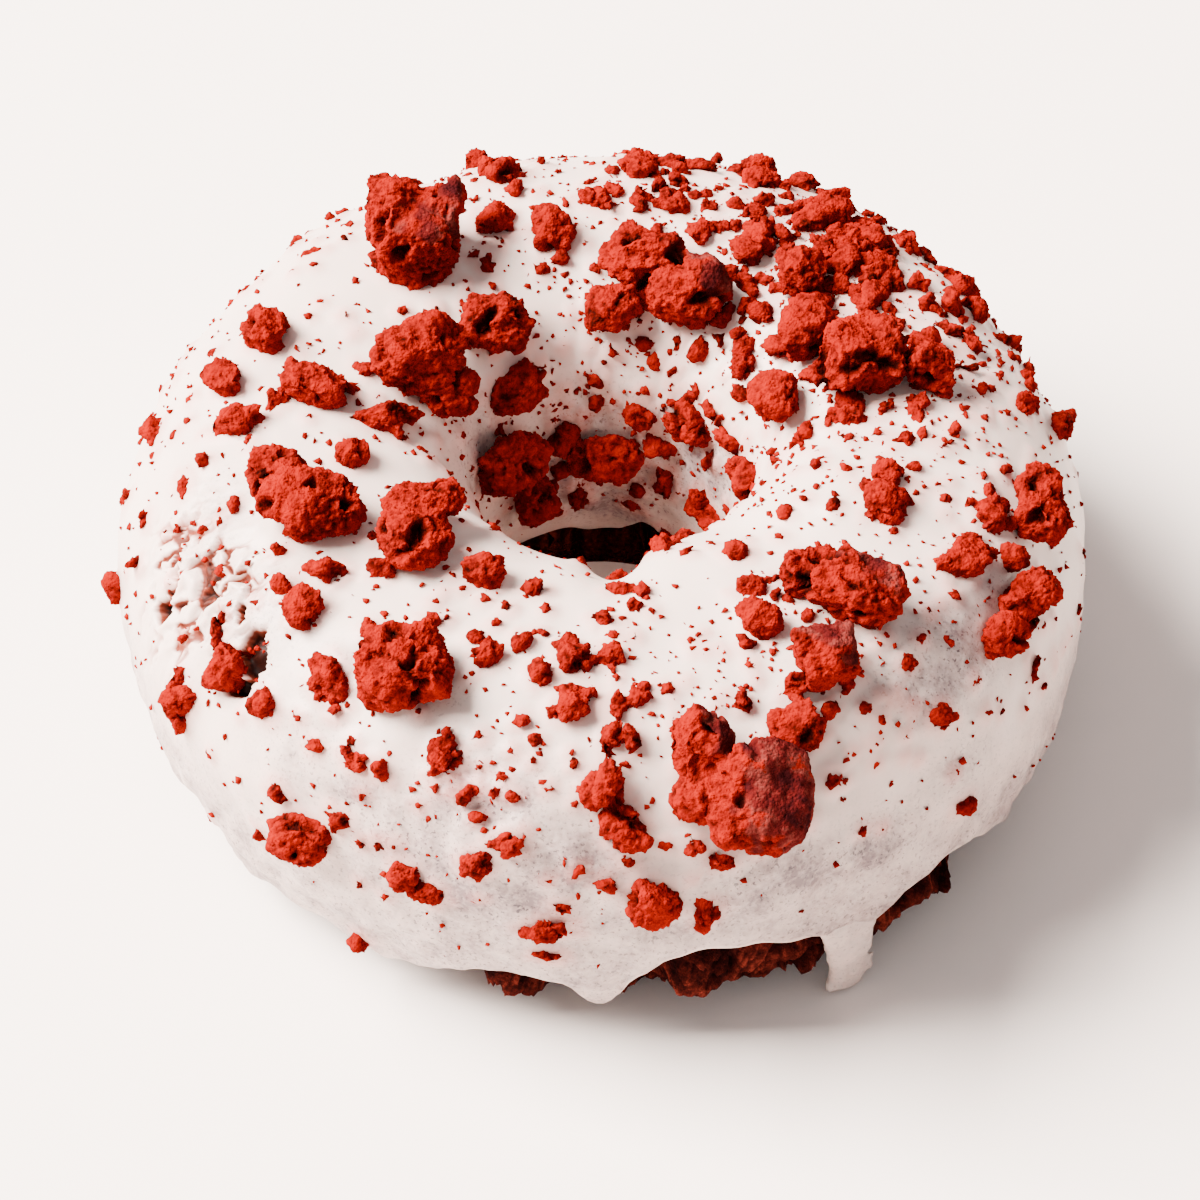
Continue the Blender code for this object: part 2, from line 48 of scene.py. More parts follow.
# The ring, as the solids have it. A bearing runs round the hole, 0 at +X and -90 at the front. A
# section angle runs round the ring's own section: 0 points outward, 90 up and 180 into the hole.
RING_RADIUS = 26.8 * MM
OUTER_HALF_WIDTH = 15.7 * MM
HALF_HEIGHT = 17.0 * MM
SECTION_HEIGHT = 16.0 * MM
SECTION_POWER = 2.15
CENTRE = Vector((0.45 * MM, 1.3 * MM, SECTION_HEIGHT))
HOLE_RADIUS = 11.4 * MM
HOLE_FORMS = ((-125, 30, -2.4 * MM), (-52, 24, -2.6 * MM), (-84, 8, 2.6 * MM), (5, 18, 1.6 * MM))
HOLE_RIM_POWER = 3.0
BASE_OUTER_RADIUS = 34.4 * MM
BASE_INNER_RADIUS = 14.2 * MM

# Swells and dents of the dipped surface: bearing, section angle, their widths, height
SWELLS = (
    (-32, -25, 12, 20, 0.5 * MM),
    (-47, 50, 9, 14, 0.7 * MM),
    (-28, 45, 7, 10, -0.7 * MM),
    (-18, 105, 10, 14, 0.7 * MM),
    (-40, 130, 8, 12, -0.5 * MM),
    (-100, 30, 8, 12, 0.5 * MM),
    (-118, 20, 7, 12, -0.5 * MM),
    (-98, 168, 6, 14, 1.6 * MM),
    (178, 10, 35, 30, -0.5 * MM),
    (-150, 45, 7, 12, -0.6 * MM),
    (-74, 10, 7, 14, 0.5 * MM),
    (60, 60, 14, 20, 0.5 * MM),
    (-90, -32, 2.2, 9, 0.6 * MM),
)
LUMP_SIZE = 9.0 * MM
LUMP_HEIGHT = 0.55 * MM
DIMPLE_SIZE = 4.0 * MM
DIMPLE_HEIGHT = 0.18 * MM

# The glaze and its edges
GLAZE_THICKNESS = 1.5 * MM
CAKE_GAP = 0.6 * MM
LIP_SWELL = 0.45 * MM
LIP_DEGREES = 7.0
FLOOR_CLEARANCE = 0.7 * MM
EDGE = (
    (-180, -41), (-165, -36), (-158, -42), (-148, -45), (-135, -40), (-125, -44), (-114, -38),
    (-107.5, -28.5), (-104, -23), (-99.5, -22), (-94.4, -25), (-90.7, -38.5), (-89.3, -38.5),
    (-85.8, -18), (-82, -9), (-78.5, -6), (-73, -9.5), (-66.5, -17.5), (-61, -22),
    (-57, -26), (-53, -16.5), (-47, -11.5), (-42, -16), (-37, -24), (-30, -36), (-15, -42),
    (0, -36), (15, -44), (30, -32), (45, -38), (60, -47), (70, -35), (90, -26), (105, -38),
    (118, -30), (130, -46), (140, -36), (155, -29), (170, -42),
)
HOLE_EDGE = 212.0
HOLE_EDGE_WAVES = ((3, 40, 8.0), (7, 10, 4.0))
HOLE_DRIP = (88, 8, 26.0)
EDGE_BULGE = 4.0
EDGE_STEPS = 7

# The drip that hangs free: height, radius from the axis, sideways shift, half width, half depth
DRIP_BEARING = -59.0
DRIP_SECTIONS = (
    (13.5 * MM, 41.00 * MM, -0.7 * MM, 3.5 * MM, 0.30 * MM),
    (11.6 * MM, 41.30 * MM, -0.6 * MM, 3.5 * MM, 0.70 * MM),
    (9.6 * MM, 41.35 * MM, -0.3 * MM, 2.9 * MM, 0.95 * MM),
    (7.6 * MM, 41.25 * MM, -0.1 * MM, 2.5 * MM, 1.00 * MM),
    (5.4 * MM, 41.15 * MM, 0.0 * MM, 2.2 * MM, 0.95 * MM),
    (3.6 * MM, 41.10 * MM, 0.1 * MM, 2.0 * MM, 0.95 * MM),
    (2.2 * MM, 41.10 * MM, 0.1 * MM, 1.8 * MM, 0.95 * MM),
    (1.3 * MM, 41.10 * MM, -0.1 * MM, 1.3 * MM, 0.75 * MM),
    (0.85 * MM, 41.10 * MM, -0.3 * MM, 0.6 * MM, 0.35 * MM),
)
DRIP_SIDES = 24
DRIP_VOXEL = 0.2 * MM

# The cake's bare side and the foot it has in the hole
BARE_SWELL = 1.6 * MM
FRONT_SWELLS = ((-70, 18, 1.2 * MM), (-40, 9, 1.0 * MM), (-103, 10, 0.7 * MM))
SWELL_START = 4.0
SWELL_DEGREES = 14.0
EDGE_REACH = (-6, -3, 0, 3, 6)
CRAG_SIZE = 3.2 * MM
CRAG_DEPTH = 1.5 * MM
HOLE_FOOT = (230, 14, 4.5 * MM)
FOOT_CLEARANCE = 0.6 * MM

# The camera, fitted to the photo, which is 1200 pixels wide and high
PHOTO_SIZE = 1200
VIEW_ELEVATION = 48.0
VIEW_DISTANCE = 0.5
VIEW_WIDTH = 106.5 * MM
AIM_HEIGHT = 10.5 * MM
SENSOR = 36.0

# Mesh fineness. The glaze is finest at its wrinkled left side, and the cake at the front.
CRUMB_VOXEL = 0.2 * MM
SMALL_VOXEL = 0.24 * MM
STREWN_VOXEL = 0.3 * MM
BIT_VOXEL = 0.34 * MM
WRINKLED_BEARINGS = (-172, -138)
FINE_COLUMN = 0.34
COLUMN = 0.95
SIDE_ROWS = 26
HOLE_ROWS = 16
GLAZE_BACK_ROWS = 12

# Crumbs of one to four millimetres that the photo shows: pixel, width and height in pixels
SEEN_CRUMBS = (
    (399, 168, 30, 16), (316, 253, 22, 12), (345, 316, 12, 12), (355, 334, 14, 12), (276, 403, 25, 22),
    (299, 351, 15, 13), (366, 371, 18, 25), (240, 420, 36, 24), (222, 432, 30, 18), (157, 435, 24, 28),
    (183, 485, 18, 30), (389, 426, 56, 30), (476, 161, 24, 22), (504, 175, 35, 28), (490, 222, 40, 34),
    (513, 390, 48, 44), (635, 168, 32, 38), (599, 202, 25, 22), (592, 378, 22, 15), (750, 370, 22, 27),
    (566, 436, 30, 28), (699, 497, 30, 26), (763, 181, 35, 30), (811, 217, 56, 36), (855, 240, 40, 35),
    (903, 245, 25, 30), (957, 286, 35, 25), (970, 309, 30, 26), (878, 273, 40, 25), (845, 418, 45, 20),
    (796, 444, 24, 16), (906, 441, 24, 18), (954, 434, 14, 20), (1023, 406, 30, 25), (1058, 424, 18, 38),
    (1026, 370, 20, 25), (885, 473, 34, 22), (882, 505, 44, 30), (990, 517, 40, 26), (973, 536, 25, 15),
    (962, 560, 46, 34), (1010, 558, 20, 25), (796, 693, 24, 24), (850, 683, 18, 18), (799, 734, 40, 44),
    (893, 698, 14, 12), (913, 708, 13, 12), (941, 716, 28, 18), (962, 802, 20, 18), (1031, 665, 14, 25),
    (832, 780, 22, 18), (538, 593, 25, 15), (569, 660, 34, 32), (536, 675, 28, 20), (612, 657, 27, 26),
    (602, 621, 25, 16), (735, 553, 25, 22), (750, 591, 30, 15), (574, 708, 40, 34), (615, 708, 20, 28),
    (610, 739, 28, 26), (631, 739, 20, 22), (639, 698, 22, 20), (604, 785, 34, 40), (445, 757, 20, 48),
    (608, 884, 18, 16), (703, 912, 20, 28), (549, 930, 40, 20), (548, 953, 26, 18), (717, 859, 28, 18),
    (693, 847, 20, 18), (628, 861, 15, 14), (562, 905, 16, 15), (262, 833, 18, 18), (277, 790, 20, 18),
    (506, 843, 26, 22), (404, 876, 32, 28), (435, 894, 35, 20), (264, 703, 24, 34), (353, 759, 24, 22),
    (381, 769, 16, 24), (468, 792, 22, 18), (338, 820, 22, 20), (364, 935, 20, 18), (335, 678, 38, 42),
    (219, 632, 18, 28), (182, 703, 26, 44), (284, 588, 20, 18), (329, 573, 28, 26), (386, 574, 26, 20),
    (279, 554, 16, 14), (368, 627, 22, 18), (427, 621, 20, 16), (1054, 661, 8, 15), (675, 531, 34, 20),
    (713, 512, 45, 24), (666, 550, 25, 22), (748, 479, 30, 34), (600, 530, 28, 28), (575, 490, 24, 24),
    (636, 505, 24, 14), (668, 480, 24, 30), (545, 485, 16, 34), (562, 435, 28, 26), (645, 413, 30, 28),
    (690, 400, 30, 24), (660, 440, 28, 22), (700, 430, 24, 30), (730, 440, 26, 22), (622, 592, 34, 16),
)

# Where the glaze is greyed: partly where it is so thin that the cake greys it, and partly painted
# shade on the low front and on the hole's inner wall. Pixel, half width and half height in
# millimetres, strength
THIN_AND_SHADED_PATCHES = (
    (500, 905, 9.0, 5.0, 1.0), (420, 850, 7.0, 6.0, 0.9), (480, 800, 6.0, 4.0, 0.9),
    (560, 870, 6.0, 5.0, 0.9), (640, 925, 6.0, 4.0, 0.8), (780, 885, 8.0, 4.0, 1.0),
    (870, 855, 7.0, 4.0, 0.9), (960, 650, 5.0, 3.5, 1.0), (360, 795, 3.0, 2.2, 1.0),
    (700, 925, 6.0, 3.0, 0.8), (440, 930, 6.0, 3.0, 0.8), (380, 880, 5.0, 4.0, 0.7),
    (930, 690, 5.0, 2.5, 0.9), (960, 770, 5.0, 3.0, 0.6), (300, 760, 5.0, 5.0, 0.5),
    (330, 860, 5.0, 5.0, 0.5), (430, 700, 3.0, 2.0, 0.5), (1000, 590, 3.0, 3.0, 0.5),
    (215, 520, 3.0, 5.0, 0.4), (350, 660, 3.5, 2.0, 0.4), (250, 620, 6.0, 6.0, 0.4),
    (820, 640, 4.0, 2.0, 0.4), (590, 410, 5.0, 3.0, 0.8), (640, 460, 7.0, 5.0, 1.0),
    (560, 480, 6.0, 5.0, 1.0), (705, 470, 5.0, 5.0, 0.9), (475, 470, 4.0, 6.0, 0.8),
    (620, 500, 6.0, 4.0, 1.0),
)

# Where it shrank into ridges and cracks, and where it tore open beside a crumb
WRINKLES = ((175, 590, 4.6, 6.0, 1.0), (215, 590, 4.4, 5.0, 1.0), (160, 615, 1.8, 2.2, 0.9))
TEARS = (
    (253, 655, 1.3, 2.3, 1.0), (238, 688, 2.0, 0.9, 0.8), (163, 612, 1.2, 1.5, 0.6),
    (240, 612, 0.5, 1.6, 0.55), (176, 570, 0.4, 1.8, 0.5),
)

# How thickly the fine crumbs lie: bearing, section angle, their widths, times the plain spread
STREWN = (
    (58, 92, 30, 34, 5.0),
    (28, 104, 20, 28, 3.0),
    (0, 122, 16, 22, 1.6),
    (-76, 80, 20, 18, 2.4),
    (-25, 85, 24, 26, 1.2),
    (-115, 45, 24, 24, 0.8),
    (95, 125, 30, 30, 1.4),
    (85, 165, 45, 22, 2.6),
    (150, 135, 25, 25, 0.8),
)
HEAVIEST = 9.0

# Crumbs that still have some of the cake's smooth crust: the way it faces, and how much it covers
CRUSTS = {
    "crumb_front": ((0.86, -0.1, 0.42), 0.2),
    "crumb_block_right": ((0.35, 0.1, 0.93), 0.6),
    "crumb_back": ((0.6, 0.0, 0.8), 0.62),
    "crumb_back_left": ((0.5, -0.3, 0.8), 0.7),
    "crumb_front_right": ((0.7, 0.4, 0.6), 0.6),
}
CRUST_CALM = 0.55


def ease(share):
    """0 below 0, 1 above 1, and a smooth step between them."""
    share = min(max(share, 0.0), 1.0)
    return share * share * (3 - 2 * share)


def hump(angle, middle, width):
    """1 at the middle angle, falling away within a few widths of it."""
    away = (angle - middle + 180) % 360 - 180
    return math.exp(-0.5 * (away / width) ** 2)


def ring_point(bearing, angle, reach):
    """The point at a distance from the middle of the ring's section."""
    turn = math.radians(bearing)
    lean = math.radians(angle)
    radius = RING_RADIUS + math.cos(lean) * reach
    return CENTRE + Vector((math.cos(turn) * radius, math.sin(turn) * radius, math.sin(lean) * reach))


def ring_place(point):
    """Bearing, section angle and reach of a point."""
    local = point - CENTRE
    out = math.hypot(local.x, local.y) - RING_RADIUS
    angle = math.degrees(math.atan2(local.z, out))
    if angle < -90:
        angle += 360
    return math.degrees(math.atan2(local.y, local.x)), angle, math.hypot(out, local.z)


def hole_radius(bearing):
    """Radius of the hole at its narrowest."""
    return HOLE_RADIUS + sum(change * hump(bearing, middle, width) for middle, width, change in HOLE_FORMS)


def plain_reach(bearing, angle):
    """Reach of the ring's plain section."""
    across = math.cos(math.radians(angle))
    up = math.sin(math.radians(angle))
    half_width = OUTER_HALF_WIDTH if across > 0 else RING_RADIUS - hole_radius(bearing)
    power = HOLE_RIM_POWER if across < 0 < up else SECTION_POWER
    total = (abs(across) / half_width) ** power + (abs(up) / HALF_HEIGHT) ** power
    reach = total ** (-1 / power)
    if up < 0:
        reach = min(reach, SECTION_HEIGHT / -up)
    return reach


def glaze_reach(bearing, angle):
    """Reach of the glaze's outer face, with its broad lumps, dimples, swells and dents."""
    plain = plain_reach(bearing, angle)
    where = ring_point(bearing, angle, plain)
    lumps = LUMP_HEIGHT * noise.noise(where / LUMP_SIZE)
    dimples = DIMPLE_HEIGHT * noise.noise(where / DIMPLE_SIZE)
    swells = sum(
        height * hump(bearing, at, wide) * hump(angle, level, tall)
        for at, level, wide, tall, height in SWELLS
    )
    return plain + lumps + dimples + swells


def edge_angle(bearing):
    """Section angle of the glaze's lower edge, eased from each point of EDGE to the next."""
    turn = (bearing + 180) % 360 - 180
    ends = EDGE + ((EDGE[0][0] + 360, EDGE[0][1]),)
    for (start, low), (stop, high) in zip(ends, ends[1:]):
        if start <= turn <= stop:
            return low + (high - low) * ease((turn - start) / (stop - start))
    return EDGE[0][1]


def hole_edge_angle(bearing):
    """Section angle at which the glaze ends inside the hole."""
    waves = sum(
        size * math.sin(math.radians(count * bearing + shift)) for count, shift, size in HOLE_EDGE_WAVES
    )
    middle, width, length = HOLE_DRIP
    return HOLE_EDGE + waves + length * hump(bearing, middle, width)


def lip(bearing, angle):
    """Extra thickness of the glaze where it gathered at its edges."""
    outer = math.exp(-(((angle - edge_angle(bearing)) / LIP_DEGREES) ** 2))
    inner = math.exp(-(((angle - hole_edge_angle(bearing)) / LIP_DEGREES) ** 2))
    return LIP_SWELL * (outer + inner)


def seat(bearing, angle, turn=0.0):
    """A point on the glaze, with the directions round the ring, across it and out of it there."""
    step = 0.5
    here = ring_point(bearing, angle, glaze_reach(bearing, angle))
    along = ring_point(bearing + step, angle, glaze_reach(bearing + step, angle)) - here
    across = ring_point(bearing, angle + step, glaze_reach(bearing, angle + step)) - here
    out = along.cross(across).normalized()
    along = along.normalized()
    across = out.cross(along)
    swing = math.radians(turn)
    return (
        here,
        along * math.cos(swing) + across * math.sin(swing),
        across * math.cos(swing) - along * math.sin(swing),
        out,
    )


# The camera's place and directions
LEAN = math.radians(VIEW_ELEVATION)
AIM = Vector((CENTRE.x, CENTRE.y, AIM_HEIGHT))
VIEW_BACK = Vector((0.0, -math.cos(LEAN), math.sin(LEAN)))
VIEW_RIGHT = Vector((1.0, 0.0, 0.0))
VIEW_UP = VIEW_BACK.cross(VIEW_RIGHT)
EYE = AIM + VIEW_BACK * VIEW_DISTANCE

# How a sight line is walked to the glaze: how far before the aim it starts, the length and number
# of its steps, and how often the step that meets the glaze is halved
WALK_LEAD = 60 * MM
WALK_STEP = 1.0 * MM
WALK_COUNT = 130
WALK_HALVINGS = 10


def seen_on_glaze(px, py):
    """Bearing and section angle of the glaze that the photo shows at a pixel, or None."""
    scale = VIEW_WIDTH / VIEW_DISTANCE / PHOTO_SIZE
    ray = VIEW_RIGHT * (px - PHOTO_SIZE / 2) * scale - VIEW_UP * (py - PHOTO_SIZE / 2) * scale - VIEW_BACK
    ray.normalize()
    near = VIEW_DISTANCE - WALK_LEAD
    for i in range(WALK_COUNT):
        bearing, angle, reach = ring_place(EYE + ray * (near + WALK_STEP * i))
        if reach <= glaze_reach(bearing, angle):
            low = near + WALK_STEP * (i - 1)
            high = near + WALK_STEP * i
            for _ in range(WALK_HALVINGS):
                middle = (low + high) / 2
                bearing, angle, reach = ring_place(EYE + ray * middle)
                if reach <= glaze_reach(bearing, angle):
                    high = middle
                else:
                    low = middle
            return bearing, angle
    return None


def seen_seat(px, py):
    """The seat on the glaze at a pixel of the photo, turned as the photo shows it, or None."""
    place = seen_on_glaze(px, py)
    if place is None:
        return None
    here, _along, _across, out = seat(*place)
    right = (VIEW_RIGHT - out * VIEW_RIGHT.dot(out)).normalized()
    return here, right, out.cross(right), out


def srgb(code):
    """A hex colour as the linear values a shader takes."""
    parts = [int(code[i : i + 2], 16) / 255 for i in (0, 2, 4)]
    linear = [part / 12.92 if part <= 0.04045 else ((part + 0.055) / 1.055) ** 2.4 for part in parts]
    return (*linear, 1.0)


def node(tree, kind, values=None, links=None, **settings):
    """Adds a shader node with its settings, socket values and incoming links."""
    made = tree.nodes.new(kind)
    for name, value in settings.items():
        setattr(made, name, value)
    for socket, value in (values or {}).items():
        made.inputs[socket].default_value = value
    for socket, source in (links or {}).items():
        tree.links.new(source, made.inputs[socket])
    return made


def new_material(name):
    """An empty material's node tree with an output, and the material."""
    material = bpy.data.materials.new(name)
    material.use_nodes = True
    tree = material.node_tree
    tree.nodes.clear()
    return material, tree


def set_ramp(ramp, stops):
    """Gives a colour ramp its stops: position and hex colour."""
    elements = ramp.color_ramp.elements
    while len(elements) < len(stops):
        elements.new(1.0)
    for element, (position, code) in zip(elements, stops):
        element.position = position
        element.color = srgb(code)


def add_object(name, mesh, material):
    """A smooth piece that rides on the doughnut's one body."""
    mesh.materials.clear()
    mesh.materials.append(material)
    mesh.shade_smooth()
    thing = bpy.data.objects.new(name, mesh)
    bpy.context.scene.collection.objects.link(thing)
    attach(thing, "root")
    return thing


def store(mesh, name, values):
    """Keeps one number for each vertex, for the material to read."""
    layer = mesh.attributes.new(name, "FLOAT", "POINT")
    layer.data.foreach_set("value", np.asarray(values, dtype=np.float32))


def mesh_from(name, verts, faces):
    """A mesh of listed points and faces."""
    mesh = bpy.data.meshes.new(name)
    mesh.from_pydata(verts, [], faces)
    mesh.update()
    return mesh


def remeshed(mesh, voxel, smooths):
    """The mesh wrapped in small even faces, then eased so that no flat facet shows."""
    thing = bpy.data.objects.new("wrap", mesh)
    bpy.context.scene.collection.objects.link(thing)
    wrap = thing.modifiers.new("wrap", "REMESH")
    wrap.mode = "VOXEL"
    wrap.voxel_size = voxel
    soften = thing.modifiers.new("soften", "SMOOTH")
    soften.factor = 0.5
    soften.iterations = smooths
    graph = bpy.context.evaluated_depsgraph_get()
    wrapped = bpy.data.meshes.new_from_object(thing.evaluated_get(graph))
    bpy.data.objects.remove(thing)
    bpy.data.meshes.remove(mesh)
    return wrapped


def coordinates(mesh):
    """Where each vertex lies, one row for each."""
    places = np.zeros(len(mesh.vertices) * 3, dtype=np.float32)
    mesh.vertices.foreach_get("co", places)
    return places.reshape(-1, 3)


def normals(mesh):
    """The way out of the surface at each vertex, one row for each."""
    directions = np.zeros(len(mesh.vertices) * 3, dtype=np.float32)
    mesh.vertex_normals.foreach_get("vector", directions)
    return directions.reshape(-1, 3)


def mesh_of(bm, name):
    """The finished bmesh as a mesh."""
    mesh = bpy.data.meshes.new(name)
    bm.to_mesh(mesh)
    bm.free()
    return mesh


# Broken cake, in millimetres: size and height of its lumps, of the knobs on them, and of the
# grains that build up the knobs, with creases between them
WARP = (1.1, 0.5)
LUMPS = (3.2, 0.9)
KNOBS = (1.15, 0.5)
GRAINS = (0.48, 0.34)
FINE_GRAINS = (0.26, 0.22)

# Its holes: size, share of the noise they take, softness, depth
HOLES = (2.1, 0.26, 0.2, 1.1)
HOLES_SHIFT = Vector((9.1, 4.3, 7.7))

# How deep a spot counts as lying, which paints it darker as shade in creases and holes: on the plain
# surface, and by how much its knob and its grain lift it and its hole sinks it
DEEP_PLAIN = 0.42
DEEP_KNOB = 0.6
DEEP_GRAIN = 0.75
DEEP_HOLE = 0.6

# Left-over crust: size and height of the blotches at its margin, and how softly it ends
CRUST_BLOTCH = (1.8, 0.3)
CRUST_SOFTNESS = 0.16

# Each crumb takes its form from another stretch of the noise, this far on for each seed
SEED_SHIFT = (1.7, 3.1, 0.9)


def grain_offset(spot, strength):
    """How far broken cake stands out at a spot, and how deep the spot lies, both in millimetres."""
    size, height = WARP
    bent = spot + noise.noise_vector(spot / size) * height
    size, height = LUMPS
    lumps = strength * height * noise.noise(spot / size)
    size, height = KNOBS
    knob = 0.5 - noise.voronoi(bent / size)[0][0]
    size, grain_height = GRAINS
    grain = 0.5 - noise.voronoi(bent / size)[0][0]
    size, fine_height = FINE_GRAINS
    fine = fine_height * noise.noise(spot / size)
    size, start, softness, depth = HOLES
    hole = strength * depth * ease((noise.noise(bent / size + HOLES_SHIFT) - start) / softness)
    offset = lumps + strength * height * knob + grain_height * grain + fine - hole
    return offset, DEEP_PLAIN - DEEP_KNOB * knob - DEEP_GRAIN * grain + DEEP_HOLE * hole - fine


def crumble(mesh, strength, seed, crust=None):
    """Turns a smooth crumb into broken cake, and stores how deep each spot lies, for its painted shade."""
    places = coordinates(mesh)
    directions = normals(mesh)
    shift = Vector([seed * part for part in SEED_SHIFT])
    shade_and_tone = np.zeros(len(places), dtype=np.float32)
    smooth = np.zeros(len(places), dtype=np.float32)
    middle = (places.min(0) + places.max(0)) / 2
    half = (places.max(0) - places.min(0)).max() / 2
    for i, (place, direction) in enumerate(zip(places.tolist(), directions.tolist())):
        spot = Vector(place) / MM + shift
        offset, shade_and_tone[i] = grain_offset(spot, strength)
        if crust:
            way, start = crust
            size, height = CRUST_BLOTCH
            lean = (Vector(place) - Vector(middle)).dot(Vector(way)) / half
            facing = Vector(direction).dot(Vector(way))
            cover = 0.5 * lean + 0.5 * facing + height * noise.noise(spot / size)
            smooth[i] = ease((cover - start) / CRUST_SOFTNESS)
            offset *= 1 - CRUST_CALM * smooth[i]
        places[i] += np.array(direction) * offset * MM
    mesh.vertices.foreach_set("co", places.ravel())
    store(mesh, "shade_and_tone", shade_and_tone.clip(0, 1))
    store(mesh, "crust", smooth)
    mesh.update()


FOOT_HEIGHT = 0.9 * MM
FOOT_SINK = 1.0 * MM
FOOT_SHARE = 4


def set_in_glaze(mesh):
    """Draws a crumb's foot down into the glaze, and returns the foot's points with no radius."""
    places = coordinates(mesh)
    feet = []
    for i, place in enumerate(places.tolist()):
        bearing, angle, reach = ring_place(Vector(place))
        height = reach - glaze_reach(bearing, angle)
        if height < FOOT_HEIGHT:
            down = ring_point(bearing, angle, reach - FOOT_SINK * (1 - max(height, 0.0) / FOOT_HEIGHT))
            places[i] = down
            if i % FOOT_SHARE == 0:
                feet.append((Vector(place), 0.0))
    mesh.vertices.foreach_set("co", places.ravel())
    mesh.update()
    return feet


def cad_mesh(name):
    """A copy of a CAD node's mesh with its doubled vertices joined."""
    bm = bmesh.new()
    bm.from_mesh(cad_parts[name].data)
    bmesh.ops.remove_doubles(bm, verts=bm.verts, dist=1e-6)
    return bm


def large_crumbs(material):
    """A detailed crumb for every large one, made from its own solid."""
    feet = []
    names = sorted(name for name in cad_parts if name.startswith("crumb_"))
    for seed, name in enumerate(names):
        mesh = remeshed(mesh_of(cad_mesh(name), name), CRUMB_VOXEL, 4)
        feet += set_in_glaze(mesh)
        crumble(mesh, 1.0, seed, CRUSTS.get(name))
        piece = add_object(name.replace("crumb", "broken_cake"), mesh, material)
        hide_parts(name)
    return feet


STANDS_PROUD = 0.35 * MM
CRUMB_ROOT = 0.7 * MM


def standing_crumbs():
    """The crumbs fused to the solid glaze, cut from it and closed below."""
    bm = cad_mesh("glaze")
    high = set()
    for vert in bm.verts:
        bearing, angle, reach = ring_place(vert.co)
        inside = edge_angle(bearing) < angle < hole_edge_angle(bearing)
        if inside and reach - glaze_reach(bearing, angle) - lip(bearing, angle) > STANDS_PROUD:
            high.add(vert)
    rest = [face for face in bm.faces if not any(vert in high for vert in face.verts)]
    bmesh.ops.delete(bm, geom=rest, context="FACES")
    rim = [edge for edge in bm.edges if edge.is_boundary]
    skirt = bmesh.ops.extrude_edge_only(bm, edges=rim)["geom"]
    for vert in skirt:
        if isinstance(vert, bmesh.types.BMVert):
            bearing, angle, reach = ring_place(vert.co)
            vert.co = ring_point(bearing, angle, reach - CRUMB_ROOT)
    bmesh.ops.holes_fill(bm, edges=[edge for edge in bm.edges if edge.is_boundary], sides=0)
    return mesh_of(bm, "standing")


# Broken faces of a lump: how many, how near its middle and how far they lie, its longest reach, and
# the least slant at which a face still counts
BREAKS = 9
BREAK_NEAR = 0.5
BREAK_FAR = 1.0
BREAK_REACH = 1.45
GRAZING = 0.05

# Its half length for each unit of size, the fineness of its skin, and how far it stands out
LUMP_HALF = 0.55
LUMP_FINENESS = 3
LUMP_RISE = 0.25


def lump(bm, place, size, seed, rise=LUMP_RISE):
    """Adds one angular lump with broken faces to a bmesh, sunk a little in what carries it."""
    here, along, across, out = place
    length, width, height = size
    middle = here + out * height * rise
    draw = random.Random(seed)
    breaks = []
    for _ in range(BREAKS):
        way = Vector([draw.gauss(0, 1) for _ in range(3)]).normalized()
        breaks.append((way, draw.uniform(BREAK_NEAR, BREAK_FAR)))
    made = bmesh.ops.create_icosphere(bm, subdivisions=LUMP_FINENESS, radius=1.0)["verts"]
    for vert in made:
        direction = vert.co.normalized()
        reach = min(distance / max(direction.dot(way), GRAZING) for way, distance in breaks)
        spot = direction * min(reach, BREAK_REACH) * LUMP_HALF
        vert.co = middle + along * spot.x * length + across * spot.y * width + out * spot.z * height


# A seen crumb is a cluster: the size of each lump and how far it lies off the middle, as shares,
# how much larger than in the photo it is drawn, and how high its lumps stand
CLUSTER = ((0.82, 0.0), (0.56, 0.32), (0.44, 0.42), (0.36, 0.48))
CLUSTER_ROOM = 1.14
CLUSTER_HEIGHTS = (0.8, 1.15)
CLUSTER_SEED = 7

# A crumb whose pixel misses the glaze slides down the photo by these pixels until it meets it
LOWER_STEP = 4
LOWER_LIMIT = 40


def seen_crumbs():
    """The crumbs listed from the photo, each a cluster of lumps on the glaze where it was seen."""
    draw = random.Random(CLUSTER_SEED)
    pixel = VIEW_WIDTH / PHOTO_SIZE
    bm = bmesh.new()
    for seed, (px, py, wide, tall) in enumerate(SEEN_CRUMBS):
        place = None
        for lower in range(0, LOWER_LIMIT, LOWER_STEP):
            place = place or seen_seat(px, py + lower)
        if place is None:
            continue
        here, right, up, out = place
        length = wide * pixel * CLUSTER_ROOM
        width = tall * pixel * CLUSTER_ROOM
        for i, (share, off) in enumerate(CLUSTER):
            swing = draw.uniform(0, math.tau)
            spot = here + right * math.cos(swing) * length * off + up * math.sin(swing) * width * off
            height = min(length, width) * share * draw.uniform(*CLUSTER_HEIGHTS)
            lump(bm, (spot, right, up, out), (length * share, width * share, height), seed * 3 + i)
    return mesh_of(bm, "seen")


# The fine crumbs keep this many degrees off the glaze's edges. Down the outer side they thin out to
# a share of their spread, from one section angle over so many degrees.
EDGE_MARGIN = 8
SIDE_SHARE = 0.12
SIDE_LEVEL = -5
SIDE_SPAN = 55
STREWN_ANGLES = (-40, 225)


def heaviness(bearing, angle):
    """How thickly the fine crumbs lie somewhere, at most HEAVIEST."""
    inside = edge_angle(bearing) + EDGE_MARGIN < angle < hole_edge_angle(bearing) - EDGE_MARGIN
    if not inside:
        return 0.0
    side = SIDE_SHARE + (1 - SIDE_SHARE) * ease((angle - SIDE_LEVEL) / SIDE_SPAN)
    extra = sum(
        more * hump(bearing, at, wide) * hump(angle, level, tall) for at, level, wide, tall, more in STREWN
    )
    room = (RING_RADIUS + math.cos(math.radians(angle)) * HALF_HEIGHT) / (RING_RADIUS + HALF_HEIGHT)
    return (1 + extra) * side * room


